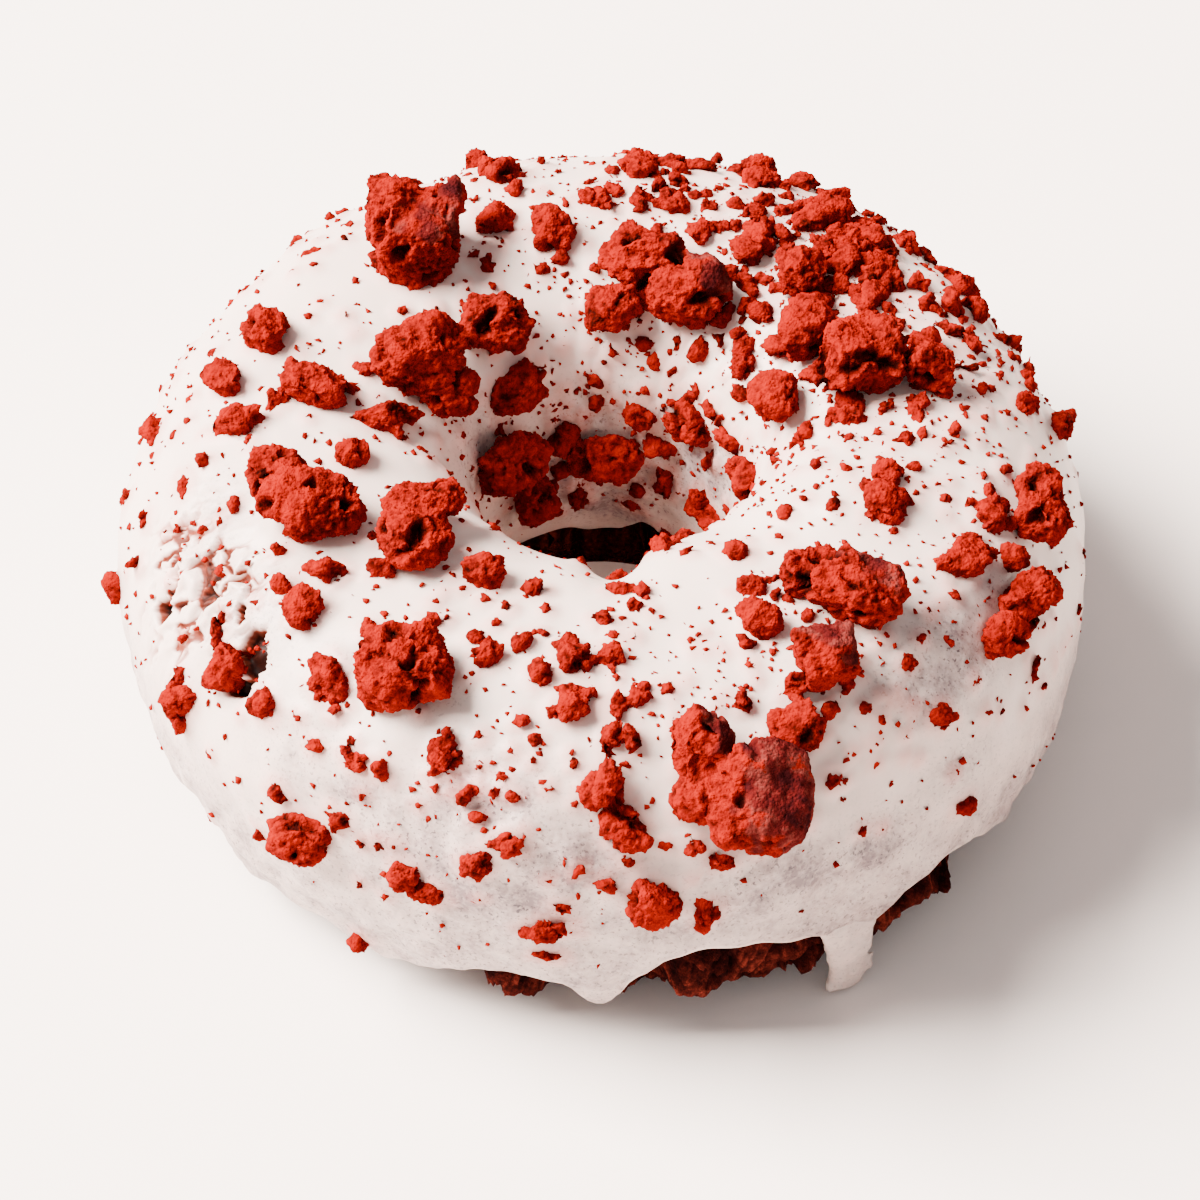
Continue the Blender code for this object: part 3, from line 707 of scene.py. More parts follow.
def strewn_places(count, sizes, power, seed, least=0.0):
    """Bearing, section angle and size of scattered crumbs, most of them small."""
    smallest, largest = sizes
    draw = random.Random(seed)
    places = []
    while len(places) < count:
        bearing = draw.uniform(-180, 180)
        angle = draw.uniform(*STREWN_ANGLES)
        if draw.uniform(least, HEAVIEST) < heaviness(bearing, angle):
            span = 1 - (smallest / largest) ** power
            places.append((bearing, angle, smallest * (1 - draw.random() * span) ** (-1 / power)))
    return places


UNIT_SEAT = (Vector(), Vector((1, 0, 0)), Vector((0, 1, 0)), Vector((0, 0, 1)))

# A small crumb's form: how steeply its lumps may lie, their sizes, and how broken it is
FORM_TILT = 0.7
FORM_SIZES = (0.7, 1.3)
FORM_STRENGTH = 0.35


def crumb_forms(count, size, voxel, seed):
    """A few unlike small crumbs: vertices about one unit long, faces, and how deep each spot lies."""
    draw = random.Random(seed)
    forms = []
    for i in range(count):
        bm = bmesh.new()
        for j, (share, off) in enumerate(CLUSTER):
            tilts = (1, 1, FORM_TILT)
            way = Vector([draw.uniform(-tilt, tilt) for tilt in tilts]).normalized()
            spot = (way * off * size, *UNIT_SEAT[1:])
            blob = [size * share * draw.uniform(*FORM_SIZES) for _ in range(3)]
            lump(bm, spot, blob, i * 5 + j, 0.0)
        mesh = remeshed(mesh_of(bm, "form"), voxel, 1)
        crumble(mesh, FORM_STRENGTH, seed + i)
        shade_and_tone = np.zeros(len(mesh.vertices), dtype=np.float32)
        mesh.attributes["shade_and_tone"].data.foreach_get("value", shade_and_tone)
        faces = [tuple(face.vertices) for face in mesh.polygons]
        forms.append((coordinates(mesh) / size, faces, shade_and_tone))
        bpy.data.meshes.remove(mesh)
    return forms


# A speck of dust: how far its corners lie from its middle, and how deep it counts as lying
SHARD_REACH = (0.28, 0.6)
SHARD_HOLLOW = (0.0, 0.3)


def shard_forms(count, corners, seed):
    """A few angular specks, each the skin round some random points."""
    draw = random.Random(seed)
    forms = []
    for _ in range(count):
        bm = bmesh.new()
        for _ in range(corners):
            way = Vector([draw.uniform(-1, 1) for _ in range(3)]).normalized()
            bm.verts.new(way * draw.uniform(*SHARD_REACH))
        skin = bmesh.ops.convex_hull(bm, input=bm.verts)
        bmesh.ops.delete(bm, geom=skin["geom_interior"], context="VERTS")
        bm.verts.index_update()
        verts = np.array([vert.co[:] for vert in bm.verts], dtype=np.float32)
        faces = [tuple(vert.index for vert in face.verts) for face in bm.faces]
        bm.free()
        forms.append((verts, faces, np.full(len(verts), draw.uniform(*SHARD_HOLLOW), dtype=np.float32)))
    return forms


# How scattered crumbs differ: their length and width, how flat they lie, and how dark they are. The
# glaze swells round each one's foot, whose radius is a share of its size.
SQUASH = (0.8, 1.25)
FLATNESS = 0.85
DARKNESS = (-0.15, 0.2)
FOOT_RADIUS = 0.42


def strew(name, material, forms, places, rise, seed):
    """One mesh of many crumbs, each a turned and resized copy of one of the forms."""
    draw = random.Random(seed)
    verts = []
    faces = []
    shade_and_tone = []
    feet = []
    count = 0
    for i, (bearing, angle, size) in enumerate(places):
        form, form_faces, form_shade_and_tone = forms[i % len(forms)]
        here, along, across, out = seat(bearing, angle)
        turn = Euler([draw.uniform(0, math.tau) for _ in range(3)]).to_matrix()
        squash = np.array((draw.uniform(*SQUASH), draw.uniform(*SQUASH), FLATNESS))
        spots = form @ np.array(turn).T * squash * size
        spots[:, 2] += rise * size
        verts.append(np.array(here) + spots @ np.array((along, across, out)))
        faces += [tuple(corner + count for corner in face) for face in form_faces]
        shade_and_tone.append(np.clip(form_shade_and_tone + draw.uniform(*DARKNESS), 0, 1))
        feet.append((here, size * FOOT_RADIUS))
        count += len(form)
    mesh = mesh_from(name, np.concatenate(verts).tolist(), faces)
    store(mesh, "shade_and_tone", np.concatenate(shade_and_tone))
    add_object(name, mesh, material)
    return feet


def marks(points, spots):
    """How strongly each point lies in any of some soft spots of the photo, from 0 to 1."""
    total = np.zeros(len(points))
    for px, py, wide, tall, strength in spots:
        place = seen_seat(px, py)
        if place is None:
            continue
        here, right, up, out = (np.array(part) for part in place)
        away = points - here
        inside = (away @ right / (wide * MM)) ** 2 + (away @ up / (tall * MM)) ** 2
        inside += (away @ out / (max(wide, tall) * MM)) ** 2
        total = np.maximum(total, strength * np.exp(-inside))
    return total


# Relief of the glaze, in millimetres: width and height of the swell round a crumb's foot, reach of
# the red stain there, size and height of the dents where it is thin, size and height of the ridges
# of its wrinkles, and size, width and depth of their cracks
FOOT_SWELL = (0.55, 0.3)
FOOT_STAIN = 0.7
THIN_DENT = (2.0, 0.55)
RIDGES = (1.5, 0.95)
CRACKS = (1.9, 0.26, 0.8)

# The wrinkles bend by a slow noise of this size and height, and run up and down the side, so their
# pattern is stretched upright. Their crests are narrower than their troughs.
WRINKLE_WARP = (1.4, 0.8)
WRINKLE_STRETCH = 0.4
RIDGE_LEVEL = 0.35
RIDGE_SHARPNESS = 1.6

# The cracks come in groups: size of a group, how common the groups are, and how softly they end
CRACK_GROUPS = (2.6, 0.12, 0.2)
CRACK_SHIFT = Vector((5.0, 5.0, 5.0))

# A tear: size and height of its ragged margin, where it starts, how softly, and its depth
TEAR_MARGIN = (0.9, 0.25)
TEAR_START = 0.3
TEAR_SOFTNESS = 0.2
TEAR_DEPTH = 1.4

# Marks fainter than this leave the glaze as it is
FAINTEST = 0.02

# Painted shade down the outer side, greying the glaze more towards its lower edge: section angle
# where that starts, over how many degrees, and how strong at most
SHADE_START = 32.0
SHADE_DEGREES = 60.0
SIDE_SHADE = 0.75


def glaze_relief(points, thin_and_shade, wrinkled, torn):
    """How far the glaze stands out at each point, in millimetres, and how open it is there."""
    relief = np.zeros(len(points))
    open_share = np.zeros(len(points))
    for i in np.nonzero(thin_and_shade + wrinkled + torn > FAINTEST)[0]:
        spot = Vector(points[i]) / MM
        size, height = THIN_DENT
        rise = thin_and_shade[i] * height * noise.noise(spot / size)
        gap = 0.0
        if wrinkled[i] > FAINTEST:
            size, height = WRINKLE_WARP
            bent = spot + noise.noise_vector(spot / size) * height
            bent = Vector((bent.x, bent.y, bent.z * WRINKLE_STRETCH))
            size, height = RIDGES
            crest = RIDGE_LEVEL - abs(noise.noise(bent / size)) * RIDGE_SHARPNESS
            rise += wrinkled[i] * height * crest
            size, common, softness = CRACK_GROUPS
            broken = ease((noise.noise(spot / size + CRACK_SHIFT) + common) / softness)
            size, width, depth = CRACKS
            distances = noise.voronoi(bent / size)[0]
            gap = wrinkled[i] * broken * (1 - ease((distances[1] - distances[0]) / width))
            rise -= depth * gap
        if torn[i] > FAINTEST:
            size, height = TEAR_MARGIN
            ragged = torn[i] + height * noise.noise(spot / size)
            hole = ease((ragged - TEAR_START) / TEAR_SOFTNESS)
            rise -= TEAR_DEPTH * hole
            gap = max(gap, hole)
        relief[i] = rise
        open_share[i] = gap
    return relief, open_share


def coat_columns():
    """Bearings of the glaze's columns, closer together where it is wrinkled."""
    start, stop = WRINKLED_BEARINGS
    fine = round((stop - start) / FINE_COLUMN)
    wide = round((360 - stop + start) / COLUMN)
    close = [start + (stop - start) * i / fine for i in range(fine)]
    return close + [stop + (360 - stop + start) * i / wide for i in range(wide)]


# Rows of the glaze over the ring's shoulders and top, with their spacing in degrees
COAT_ROWS = ((12, 28, 2.0), (28, 68, 1.1), (68, 190, 2.0))


def coat_angles(low, deep):
    """Section angles of the glaze's outer face, from its lower edge to its edge in the hole."""
    first = COAT_ROWS[0][0]
    last = COAT_ROWS[-1][1]
    angles = [low + (first - low) * i / SIDE_ROWS for i in range(SIDE_ROWS)]
    for start, stop, spacing in COAT_ROWS:
        steps = round((stop - start) / spacing)
        angles += [start + (stop - start) * i / steps for i in range(steps)]
    return angles + [last + (deep - last) * i / HOLE_ROWS for i in range(HOLE_ROWS + 1)]


def ring_faces(columns, rows):
    """Faces of a skin that is closed both round its section and round the ring."""
    faces = []
    for column in range(columns):
        base = column * rows
        following = (column + 1) % columns * rows
        for row in range(rows):
            under = (row + 1) % rows
            faces.append((base + row, following + row, following + under, base + under))
    return faces


def glaze_coat(material, feet):
    """The white glaze: a closed shell from its lower edge over the ring and into the hole."""
    tree = KDTree(len(feet))
    for i, (foot, _radius) in enumerate(feet):
        tree.insert(foot, i)
    tree.balance()
    verts = []
    middles = []
    stain = []
    side_shade = []
    columns = coat_columns()
    for bearing in columns:
        low = edge_angle(bearing)
        deep = hole_edge_angle(bearing)
        loop = []
        for angle in coat_angles(low, deep):
            reach = glaze_reach(bearing, angle) + lip(bearing, angle)
            found = tree.find_n(ring_point(bearing, angle, reach), 4)
            away = min(distance - feet[i][1] for _place, i, distance in found) / MM
            away = max(away, 0.0)
            width, height = FOOT_SWELL
            reach += height * MM * math.exp(-((away / width) ** 2))
            loop.append((angle, reach, math.exp(-((away / FOOT_STAIN) ** 2))))
        for end, way in ((deep, 1), (low, -1)):
            outer = glaze_reach(bearing, end) + lip(bearing, end)
            inner = glaze_reach(bearing, end) - GLAZE_THICKNESS
            bead = []
            for step in range(1, EDGE_STEPS):
                turn = math.pi * step / EDGE_STEPS
                reach = (outer + inner) / 2 + (outer - inner) / 2 * math.cos(turn)
                bead.append((end + way * EDGE_BULGE * math.sin(turn), reach, -1.0))
            if way < 0:
                bead.reverse()
            loop += bead
            if way > 0:
                for row in range(GLAZE_BACK_ROWS + 1):
                    angle = deep + (low - deep) * row / GLAZE_BACK_ROWS
                    loop.append((angle, glaze_reach(bearing, angle) - GLAZE_THICKNESS, -1.0))
        for angle, reach, mark in loop:
            point = ring_point(bearing, angle, reach)
            point.z = max(point.z, FLOOR_CLEARANCE)
            verts.append(point[:])
            middles.append(ring_point(bearing, angle, 0.0)[:])
            stain.append(mark)
            # Painted shade, stronger the lower the glaze lies on the outer side
            side_shade.append(SIDE_SHADE * ease((SHADE_START - angle) / SHADE_DEGREES))
    points = np.array(verts)
    stain = np.array(stain)
    outer = stain >= 0
    outward = points - np.array(middles)
    outward /= np.linalg.norm(outward, axis=1)[:, None]
    # Greyed glaze: thin places, and painted shade on the low front, down the side and in the hole
    thin_and_shade = np.maximum(marks(points, THIN_AND_SHADED_PATCHES), side_shade) * outer
    wrinkled = marks(points, WRINKLES) * outer
    torn = marks(points, TEARS) * outer
    relief, open_share = glaze_relief(points, thin_and_shade, wrinkled, torn)
    points += outward * relief[:, None] * MM
    mesh = mesh_from("glaze_coat", points.tolist(), ring_faces(len(columns), len(points) // len(columns)))
    store(mesh, "stain", stain.clip(0, 1))
    store(mesh, "thin_and_shade", thin_and_shade)
    store(mesh, "torn", open_share)
    return add_object("glaze_coat", mesh, material)


# Ragged end of the drip: sideways shift, height, and size of each small blob
DRIP_BLOBS = (
    (-1.2, 1.5, (1.6, 1.4, 1.3)), (0.3, 1.25, (1.8, 1.5, 1.1)), (1.5, 2.2, (1.3, 1.3, 1.4)),
    (2.1, 2.9, (0.9, 0.7, 0.5)), (2.5, 3.1, (0.5, 0.4, 0.4)), (-0.4, 1.1, (1.0, 1.1, 0.7)),
)
DRIP_RELIEF = ((2.2, 0.3), (0.9, 0.12), (0.4, 0.05))
# How much the whole drip is greyed, as painted shade
DRIP_SHADE = 0.3


def glaze_drip(material):
    """The long drip, an upright tongue whose top is sunk in the coat."""
    turn = math.radians(DRIP_BEARING)
    out = Vector((math.cos(turn), math.sin(turn), 0.0))
    side = Vector((-out.y, out.x, 0.0))
    up = Vector((0.0, 0.0, 1.0))
    bm = bmesh.new()
    rows = []
    for height, radius, shift, half_width, half_depth in DRIP_SECTIONS:
        middle = Vector((CENTRE.x, CENTRE.y, height)) + out * radius + side * shift
        row = []
        for i in range(DRIP_SIDES):
            step = math.tau * i / DRIP_SIDES
            spot = middle + side * math.cos(step) * half_width + out * math.sin(step) * half_depth
            row.append(bm.verts.new(spot))
        rows.append(row)
    for row, following in zip(rows, rows[1:]):
        for i in range(DRIP_SIDES):
            j = (i + 1) % DRIP_SIDES
            bm.faces.new((row[i], following[i], following[j], row[j]))
    bm.faces.new(rows[0])
    bm.faces.new(rows[-1])
    bmesh.ops.recalc_face_normals(bm, faces=bm.faces)
    radius = DRIP_SECTIONS[-1][1]
    for seed, (shift, height, size) in enumerate(DRIP_BLOBS):
        spot = Vector((CENTRE.x, CENTRE.y, height * MM)) + out * radius + side * shift * MM
        lump(bm, (spot, side, out, up), [part * MM for part in size], seed + 80, 0.0)
    mesh = remeshed(mesh_of(bm, "drip"), DRIP_VOXEL, 3)
    places = coordinates(mesh)
    for i, direction in enumerate(normals(mesh).tolist()):
        spot = Vector(places[i]) / MM
        rise = sum(height * noise.noise(spot / size) for size, height in DRIP_RELIEF)
        places[i] += np.array(direction) * rise * MM
    places[:, 2] = places[:, 2].clip(FLOOR_CLEARANCE / 2, None)
    mesh.vertices.foreach_set("co", places.ravel())
    mesh.update()
    store(mesh, "thin_and_shade", np.full(len(places), DRIP_SHADE))
    return add_object("glaze_drip", mesh, material)


def bare_share(bearing, angle):
    """How far out from under the glaze a place on the cake lies, from 0 to 1."""
    lowest = min(edge_angle(bearing + step) for step in EDGE_REACH)
    deepest = max(hole_edge_angle(bearing + step) for step in EDGE_REACH)
    beyond = max(lowest - angle, angle - deepest)
    return ease((beyond - SWELL_START) / SWELL_DEGREES)


def cake_reach(bearing, angle, bare):
    """Reach of the cake: a gap inside the glaze, and swollen and craggy where it is bare."""
    covered = glaze_reach(bearing, angle) - GLAZE_THICKNESS - CAKE_GAP
    swell = BARE_SWELL + sum(extra * hump(bearing, middle, width) for middle, width, extra in FRONT_SWELLS)
    crags = CRAG_DEPTH * noise.noise(ring_point(bearing, angle, covered) / CRAG_SIZE)
    middle, width, extra = HOLE_FOOT
    foot = extra * hump(angle, middle, width)
    reach = covered + bare * (swell + crags + foot)
    up = math.sin(math.radians(angle))
    return min(reach, (SECTION_HEIGHT - FOOT_CLEARANCE) / -up) if up < 0 else reach


# Rows of the cake and its columns: start, stop and spacing in degrees
CAKE_ROWS = ((-66, 4, 1.4), (4, 176, 16.0), (176, 240, 2.6))
CAKE_COLUMNS = ((-116, -26, 0.45), (-26, 244, 2.0))

# Its broken texture's strength, and its tunnels: size, share of the noise they take, softness,
# depth, how much flatter than wide they are, and how much darker they are painted inside, as shade
CAKE_GRAIN = 1.3
CAKE_TUNNELS = (1.8, 0.1, 0.2, 1.3)
TUNNEL_FLATNESS = 1.7
TUNNEL_SHADE = 0.5
BASE_HOLLOW = 0.5


def cake_body(material):
    """The red ring under the glaze, with an open crumb where it is bare."""
    angles = []
    for start, stop, spacing in CAKE_ROWS:
        steps = round((stop - start) / spacing)
        angles += [start + (stop - start) * i / steps for i in range(steps)]
    bearings = []
    for start, stop, spacing in CAKE_COLUMNS:
        steps = round((stop - start) / spacing)
        bearings += [start + (stop - start) * i / steps for i in range(steps)]
    verts = []
    shade_and_tone = []
    for bearing in bearings:
        turn = math.radians(bearing)
        for angle in angles:
            bare = bare_share(bearing, angle)
            reach = cake_reach(bearing, angle, bare)
            point = ring_point(bearing, angle, reach)
            offset, deep = grain_offset(point / MM, CAKE_GRAIN)
            size, start, softness, depth = CAKE_TUNNELS
            flat = Vector((point.x, point.y, point.z * TUNNEL_FLATNESS)) / MM
            tunnel = depth * ease((noise.noise(flat / size) - start) / softness)
            point = ring_point(bearing, angle, reach + bare * (offset - tunnel) * MM)
            point.z = max(point.z, 0.0)
            verts.append(point)
            shade_and_tone.append(min(max(deep + TUNNEL_SHADE * tunnel, 0.0), 1.0))
        for radius in (BASE_INNER_RADIUS, BASE_OUTER_RADIUS):
            verts.append(CENTRE + Vector((math.cos(turn) * radius, math.sin(turn) * radius, -CENTRE.z)))
            shade_and_tone.append(BASE_HOLLOW)
    mesh = mesh_from("cake_body", verts, ring_faces(len(bearings), len(angles) + 2))
    store(mesh, "shade_and_tone", shade_and_tone)
    return add_object("cake_body", mesh, material)


def per_millimetre(size):
    """Scale of a texture whose pattern repeats about every so many millimetres."""
    return 1 / (size * MM)


# Sugar glaze: icing sugar and water, poured on and set. It dries to a smooth satin skin, a little
# translucent, so the red cake greys it where it is thin. It is also painted grey as shade on its low
# front, down its outer side, in the hole and on the drip. Sugar's IOR is about 1.5.
def sugar_glaze():
    material, tree = new_material("sugar_glaze")
    where = node(tree, "ShaderNodeTexCoord").outputs["Object"]
    stain = node(tree, "ShaderNodeAttribute", attribute_name="stain").outputs["Fac"]
    thin_and_shade = node(tree, "ShaderNodeAttribute", attribute_name="thin_and_shade").outputs["Fac"]
    torn = node(tree, "ShaderNodeAttribute", attribute_name="torn").outputs["Fac"]

    # Thin places, and the places painted grey as shade, are cloudy over about three millimetres and
    # mottled over half of one
    cloud = node(
        tree,
        "ShaderNodeTexNoise",
        {"Scale": per_millimetre(3.2), "Detail": 3.0, "Roughness": 0.55},
        {"Vector": where},
    )
    mottle = node(
        tree,
        "ShaderNodeTexNoise",
        {"Scale": per_millimetre(0.5), "Detail": 3.0, "Roughness": 0.6},
        {"Vector": where},
    )
    clouded = node(
        tree,
        "ShaderNodeMapRange",
        {"From Min": 0.32, "From Max": 0.66, "To Min": 0.35},
        {"Value": cloud.outputs["Fac"]},
    )
    mottled = node(
        tree,
        "ShaderNodeMapRange",
        {"From Min": 0.3, "From Max": 0.7, "To Min": 0.8, "To Max": 1.55},
        {"Value": mottle.outputs["Fac"]},
    )
    patch = node(
        tree,
        "ShaderNodeMath",
        links={0: clouded.outputs["Result"], 1: mottled.outputs["Result"]},
        operation="MULTIPLY",
    )
    thinned_and_shaded = node(tree, "ShaderNodeMath", links={0: patch.outputs[0], 1: thin_and_shade}, operation="MULTIPLY")
    # Grey where the glaze is thin, and painted shade where it lies in shade
    shade = node(
        tree,
        "ShaderNodeMix",
        {"A": srgb("d4bfb6"), "B": srgb("725d5e")},
        {"Factor": thinned_and_shaded.outputs[0]},
        data_type="RGBA",
    )

    # Dark specks of about a third of a millimetre, where the glaze has pinholes over the cake
    speck = node(
        tree,
        "ShaderNodeTexNoise",
        {"Scale": per_millimetre(0.34), "Detail": 2.0, "Roughness": 0.6},
        {"Vector": where},
    )
    pinhole = node(
        tree, "ShaderNodeMapRange", {"From Min": 0.58, "From Max": 0.66}, {"Value": speck.outputs["Fac"]}
    )
    specked = node(
        tree, "ShaderNodeMath", links={0: pinhole.outputs["Result"], 1: thin_and_shade}, operation="MULTIPLY"
    )
    specks = node(
        tree,
        "ShaderNodeMix",
        {"B": srgb("42323a")},
        {"Factor": specked.outputs[0], "A": shade.outputs["Result"]},
        data_type="RGBA",
    )

    # Crumbs stain it pink where they are sunk in it. A tear or a crack shows the cake, whose red is
    # painted darker towards the middle of the opening as shade
    blush = node(tree, "ShaderNodeMath", {1: 0.4}, {0: stain}, operation="MULTIPLY")
    tint = node(
        tree,
        "ShaderNodeMix",
        {"B": srgb("c47468")},
        {"Factor": blush.outputs[0], "A": specks.outputs["Result"]},
        data_type="RGBA",
    )
    # Painted shade: cake red at the opening's margin, near black deep inside it
    inside = node(tree, "ShaderNodeValToRGB", links={"Fac": torn})
    set_ramp(inside, ((0.0, "a5604f"), (0.5, "5c2418"), (0.9, "1c0805")))
    opened = node(tree, "ShaderNodeMapRange", {"From Min": 0.08, "From Max": 0.4}, {"Value": torn})
    gloss = node(
        tree, "ShaderNodeMapRange", {"To Min": 0.5, "To Max": 0.05}, {"Value": opened.outputs["Result"]}
    )
    colour = node(
        tree,
        "ShaderNodeMix",
        links={
            "Factor": opened.outputs["Result"],
            "A": tint.outputs["Result"],
            "B": inside.outputs["Color"],
        },
        data_type="RGBA",
    )

    # The set skin is very slightly uneven, over a millimetre or two
    grain = node(
        tree,
        "ShaderNodeTexNoise",
        {"Scale": per_millimetre(1.6), "Detail": 5.0, "Roughness": 0.5},
        {"Vector": where},
    )
    bump = node(
        tree, "ShaderNodeBump", {"Strength": 0.35, "Distance": 0.12 * MM}, {"Height": grain.outputs["Fac"]}
    )
    shader = node(
        tree,
        "ShaderNodeBsdfPrincipled",
        {
            "Roughness": 0.42,
            "IOR": 1.5,
            "Subsurface Weight": 0.6,
            "Subsurface Radius": (1.0, 0.6, 0.5),
            "Subsurface Scale": 0.7 * MM,
        },
        {
            "Base Color": colour.outputs["Result"],
            "Normal": bump.outputs["Normal"],
            "Specular IOR Level": gloss.outputs["Result"],
        },
    )
    node(tree, "ShaderNodeOutputMaterial", links={"Surface": shader.outputs[0]})
    return material


# Broken red cake: dry, open sponge with no gloss. Its colour is painted as light and shade: lighter
# on the raised walls of its pores, darker the deeper a spot lies in its creases and pores.
def sponge(name, stops, crust):
    material, tree = new_material(name)
    where = node(tree, "ShaderNodeTexCoord").outputs["Object"]
    shade_and_tone = node(tree, "ShaderNodeAttribute", attribute_name="shade_and_tone").outputs["Fac"]
    smooth = node(tree, "ShaderNodeAttribute", attribute_name="crust").outputs["Fac"]
    patches = node(
        tree, "ShaderNodeTexNoise", {"Scale": per_millimetre(4.0), "Detail": 2.0}, {"Vector": where}
    )
    crumb = node(
        tree,
        "ShaderNodeTexNoise",
        {"Scale": per_millimetre(0.45), "Detail": 3.0, "Roughness": 0.65},
        {"Vector": where},
    )
    both = node(
        tree, "ShaderNodeMath", links={0: patches.outputs["Fac"], 1: crumb.outputs["Fac"]}, operation="ADD"
    )
    varied = node(
        tree,
        "ShaderNodeMapRange",
        {"From Min": 0.6, "From Max": 1.4, "To Min": -0.4, "To Max": 0.4},
        {"Value": both.outputs[0]},
    )
    depth = node(tree, "ShaderNodeMath", links={0: shade_and_tone, 1: varied.outputs["Result"]}, operation="ADD")
    ramp = node(tree, "ShaderNodeValToRGB", links={"Fac": depth.outputs[0]})
    set_ramp(ramp, stops)
    blotch = node(
        tree,
        "ShaderNodeTexNoise",
        {"Scale": per_millimetre(2.4), "Detail": 4.0, "Roughness": 0.65},
        {"Vector": where},
    )
    skin = node(tree, "ShaderNodeValToRGB", links={"Fac": blotch.outputs["Fac"]})
    set_ramp(skin, crust)
    colour = node(
        tree,
        "ShaderNodeMix",
        links={"Factor": smooth, "A": ramp.outputs["Color"], "B": skin.outputs["Color"]},
        data_type="RGBA",
    )
    cells = node(tree, "ShaderNodeTexVoronoi", {"Scale": per_millimetre(0.3)}, {"Vector": where})
    relief = node(
        tree,
        "ShaderNodeMath",
        {1: 0.7},
        {0: cells.outputs["Distance"], 2: crumb.outputs["Fac"]},
        operation="MULTIPLY_ADD",
    )
    bump = node(
        tree,
        "ShaderNodeBump",
        {"Strength": 1.0, "Distance": 0.18 * MM},
        {"Height": relief.outputs[0]},
        invert=True,
    )
    shader = node(
        tree,
        "ShaderNodeBsdfPrincipled",
        {"Roughness": 1.0, "IOR": 1.4, "Specular IOR Level": 0.02},
        {"Base Color": colour.outputs["Result"], "Normal": bump.outputs["Normal"]},
    )
    node(tree, "ShaderNodeOutputMaterial", links={"Surface": shader.outputs[0]})
    return material


# The crumb's red from raised spots to deep ones, darkening to near black as painted shade
CRUMB_STOPS = ((0.08, "7a0c04"), (0.42, "6c0b05"), (0.7, "4c0804"), (1.0, "200403"))
CRUST_STOPS = ((0.36, "2c0a0c"), (0.5, "480f0e"), (0.58, "5c2420"), (0.66, "780e06"))

# Fried red cake: the same sponge, browned and dried where the oil met it, and likewise painted darker
# with depth as shade.
FRIED_STOPS = ((0.05, "66251c"), (0.35, "3c110d"), (0.65, "220706"), (1.0, "0c0202"))


FLOOR_SIDE = 4.0

# The window's bearing and height above the horizon in degrees, its distance and its side
WINDOW_BEARING = 171.0
WINDOW_HEIGHT = 45.0
WINDOW_DISTANCE = 2.0
WINDOW_SIDE = 1.3
WINDOW_POWER = 510.0
AIR_STRENGTH = 0.8


def studio():
    """A plain pale floor, soft light from the left and above, and the camera."""
    material, tree = new_material("studio_floor")
    shader = node(tree, "ShaderNodeBsdfPrincipled", {"Base Color": srgb("efe5df"), "Roughness": 0.9})
    node(tree, "ShaderNodeOutputMaterial", links={"Surface": shader.outputs[0]})
    side = FLOOR_SIDE
    corners = [(-side, -side, 0), (side, -side, 0), (side, side, 0), (-side, side, 0)]
    mesh = mesh_from("floor", corners, [(0, 1, 2, 3)])
    mesh.materials.append(material)
    floor = bpy.data.objects.new("floor", mesh)
    bpy.context.scene.collection.objects.link(floor)

    world = bpy.data.worlds.new("studio_air")
    world.use_nodes = True
    air = world.node_tree.nodes["Background"]
    air.inputs["Color"].default_value = srgb("f6efee")
    air.inputs["Strength"].default_value = AIR_STRENGTH
    bpy.context.scene.world = world

    key = bpy.data.lights.new("window", "AREA")
    key.shape = "RECTANGLE"
    key.size = WINDOW_SIDE
    key.size_y = WINDOW_SIDE
    key.energy = WINDOW_POWER
    key.color = srgb("fff3ea")[:3]
    lamp = bpy.data.objects.new("window", key)
    turn = math.radians(WINDOW_BEARING)
    rise = math.radians(WINDOW_HEIGHT)
    way = Vector((math.cos(turn) * math.cos(rise), math.sin(turn) * math.cos(rise), math.sin(rise)))
    lamp.location = AIM + way * WINDOW_DISTANCE
    lamp.rotation_euler = (AIM - lamp.location).to_track_quat("-Z", "Y").to_euler()
    bpy.context.scene.collection.objects.link(lamp)

    lens = bpy.data.cameras.new("camera")
    lens.sensor_width = SENSOR
    lens.lens = SENSOR * VIEW_DISTANCE / VIEW_WIDTH
    lens.clip_start = 0.01
    camera = bpy.data.objects.new("camera", lens)
    camera.location = EYE
    camera.rotation_euler = (math.pi / 2 - LEAN, 0.0, 0.0)
    bpy.context.scene.collection.objects.link(camera)
    bpy.context.scene.camera = camera


# How broken the medium and the small crumbs are; the large ones have 1
MEDIUM_STRENGTH = 0.75
SMALL_STRENGTH = 0.45

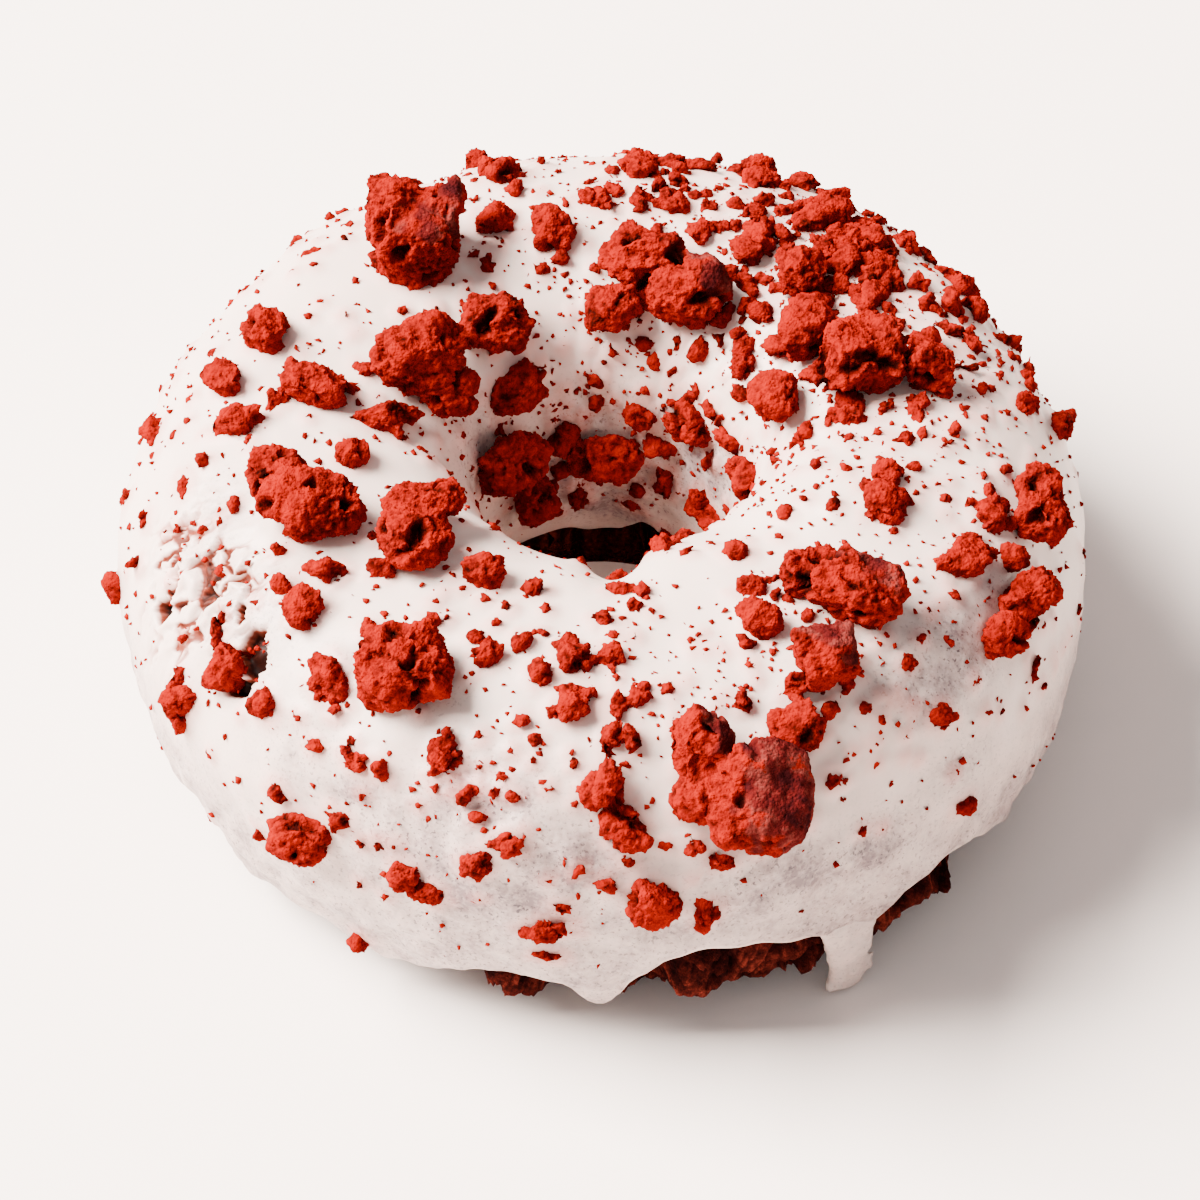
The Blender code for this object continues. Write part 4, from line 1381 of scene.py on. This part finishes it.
# Scattered crumbs, from the largest to dust: how many, their sizes, and how strongly small ones
# prevail. The largest keep to where crumbs lie at least so thickly.
STREWN_COUNT = 150
STREWN_SIZES = (1.4 * MM, 3.2 * MM)
STREWN_POWER = 1.6
STREWN_LEAST = 2.2
BIT_COUNT = 860
BIT_SIZES = (0.6 * MM, 1.8 * MM)
BIT_POWER = 1.5
DUST_COUNT = 3200
DUST_SIZES = (0.3 * MM, 0.9 * MM)
DUST_POWER = 1.3

# Their forms: how many unlike ones, the size each is made at, and a speck's corners
FORMS = 14
STREWN_FORM = 2.4 * MM
BIT_FORM = 1.4 * MM
SPECK_FORMS = 16
SPECK_CORNERS = 11

# How far they stand out of the glaze, as a share of their size
CRUMB_RISE = 0.2
DUST_RISE = 0.15


def main():
    """Builds the doughnut's pieces from the largest crumbs down, then the glaze and the cake."""
    studio()
    glaze = sugar_glaze()
    cake = sponge("broken_cake", CRUMB_STOPS, CRUST_STOPS)
    feet = large_crumbs(cake)
    medium = remeshed(standing_crumbs(), SMALL_VOXEL, 2)
    feet += set_in_glaze(medium)
    crumble(medium, MEDIUM_STRENGTH, seed=31)
    add_object("medium_crumbs", medium, cake)
    small = remeshed(seen_crumbs(), SMALL_VOXEL, 1)
    feet += set_in_glaze(small)
    crumble(small, SMALL_STRENGTH, seed=57)
    add_object("small_crumbs", small, cake)
    broken = crumb_forms(FORMS, STREWN_FORM, STREWN_VOXEL, seed=23)
    places = strewn_places(STREWN_COUNT, STREWN_SIZES, STREWN_POWER, seed=29, least=STREWN_LEAST)
    feet += strew("strewn_crumbs", cake, broken, places, CRUMB_RISE, seed=12)
    bits = crumb_forms(FORMS, BIT_FORM, BIT_VOXEL, seed=41)
    places = strewn_places(BIT_COUNT, BIT_SIZES, BIT_POWER, seed=11)
    feet += strew("crumb_bits", cake, bits, places, CRUMB_RISE, seed=13)
    specks = shard_forms(SPECK_FORMS, SPECK_CORNERS, seed=5)
    places = strewn_places(DUST_COUNT, DUST_SIZES, DUST_POWER, seed=17)
    strew("crumb_dust", cake, specks, places, DUST_RISE, seed=18)
    coat = glaze_coat(glaze, feet)
    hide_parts("glaze")
    glaze_drip(glaze)
    body = cake_body(sponge("fried_cake", FRIED_STOPS, CRUST_STOPS))
    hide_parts("cake")


main()
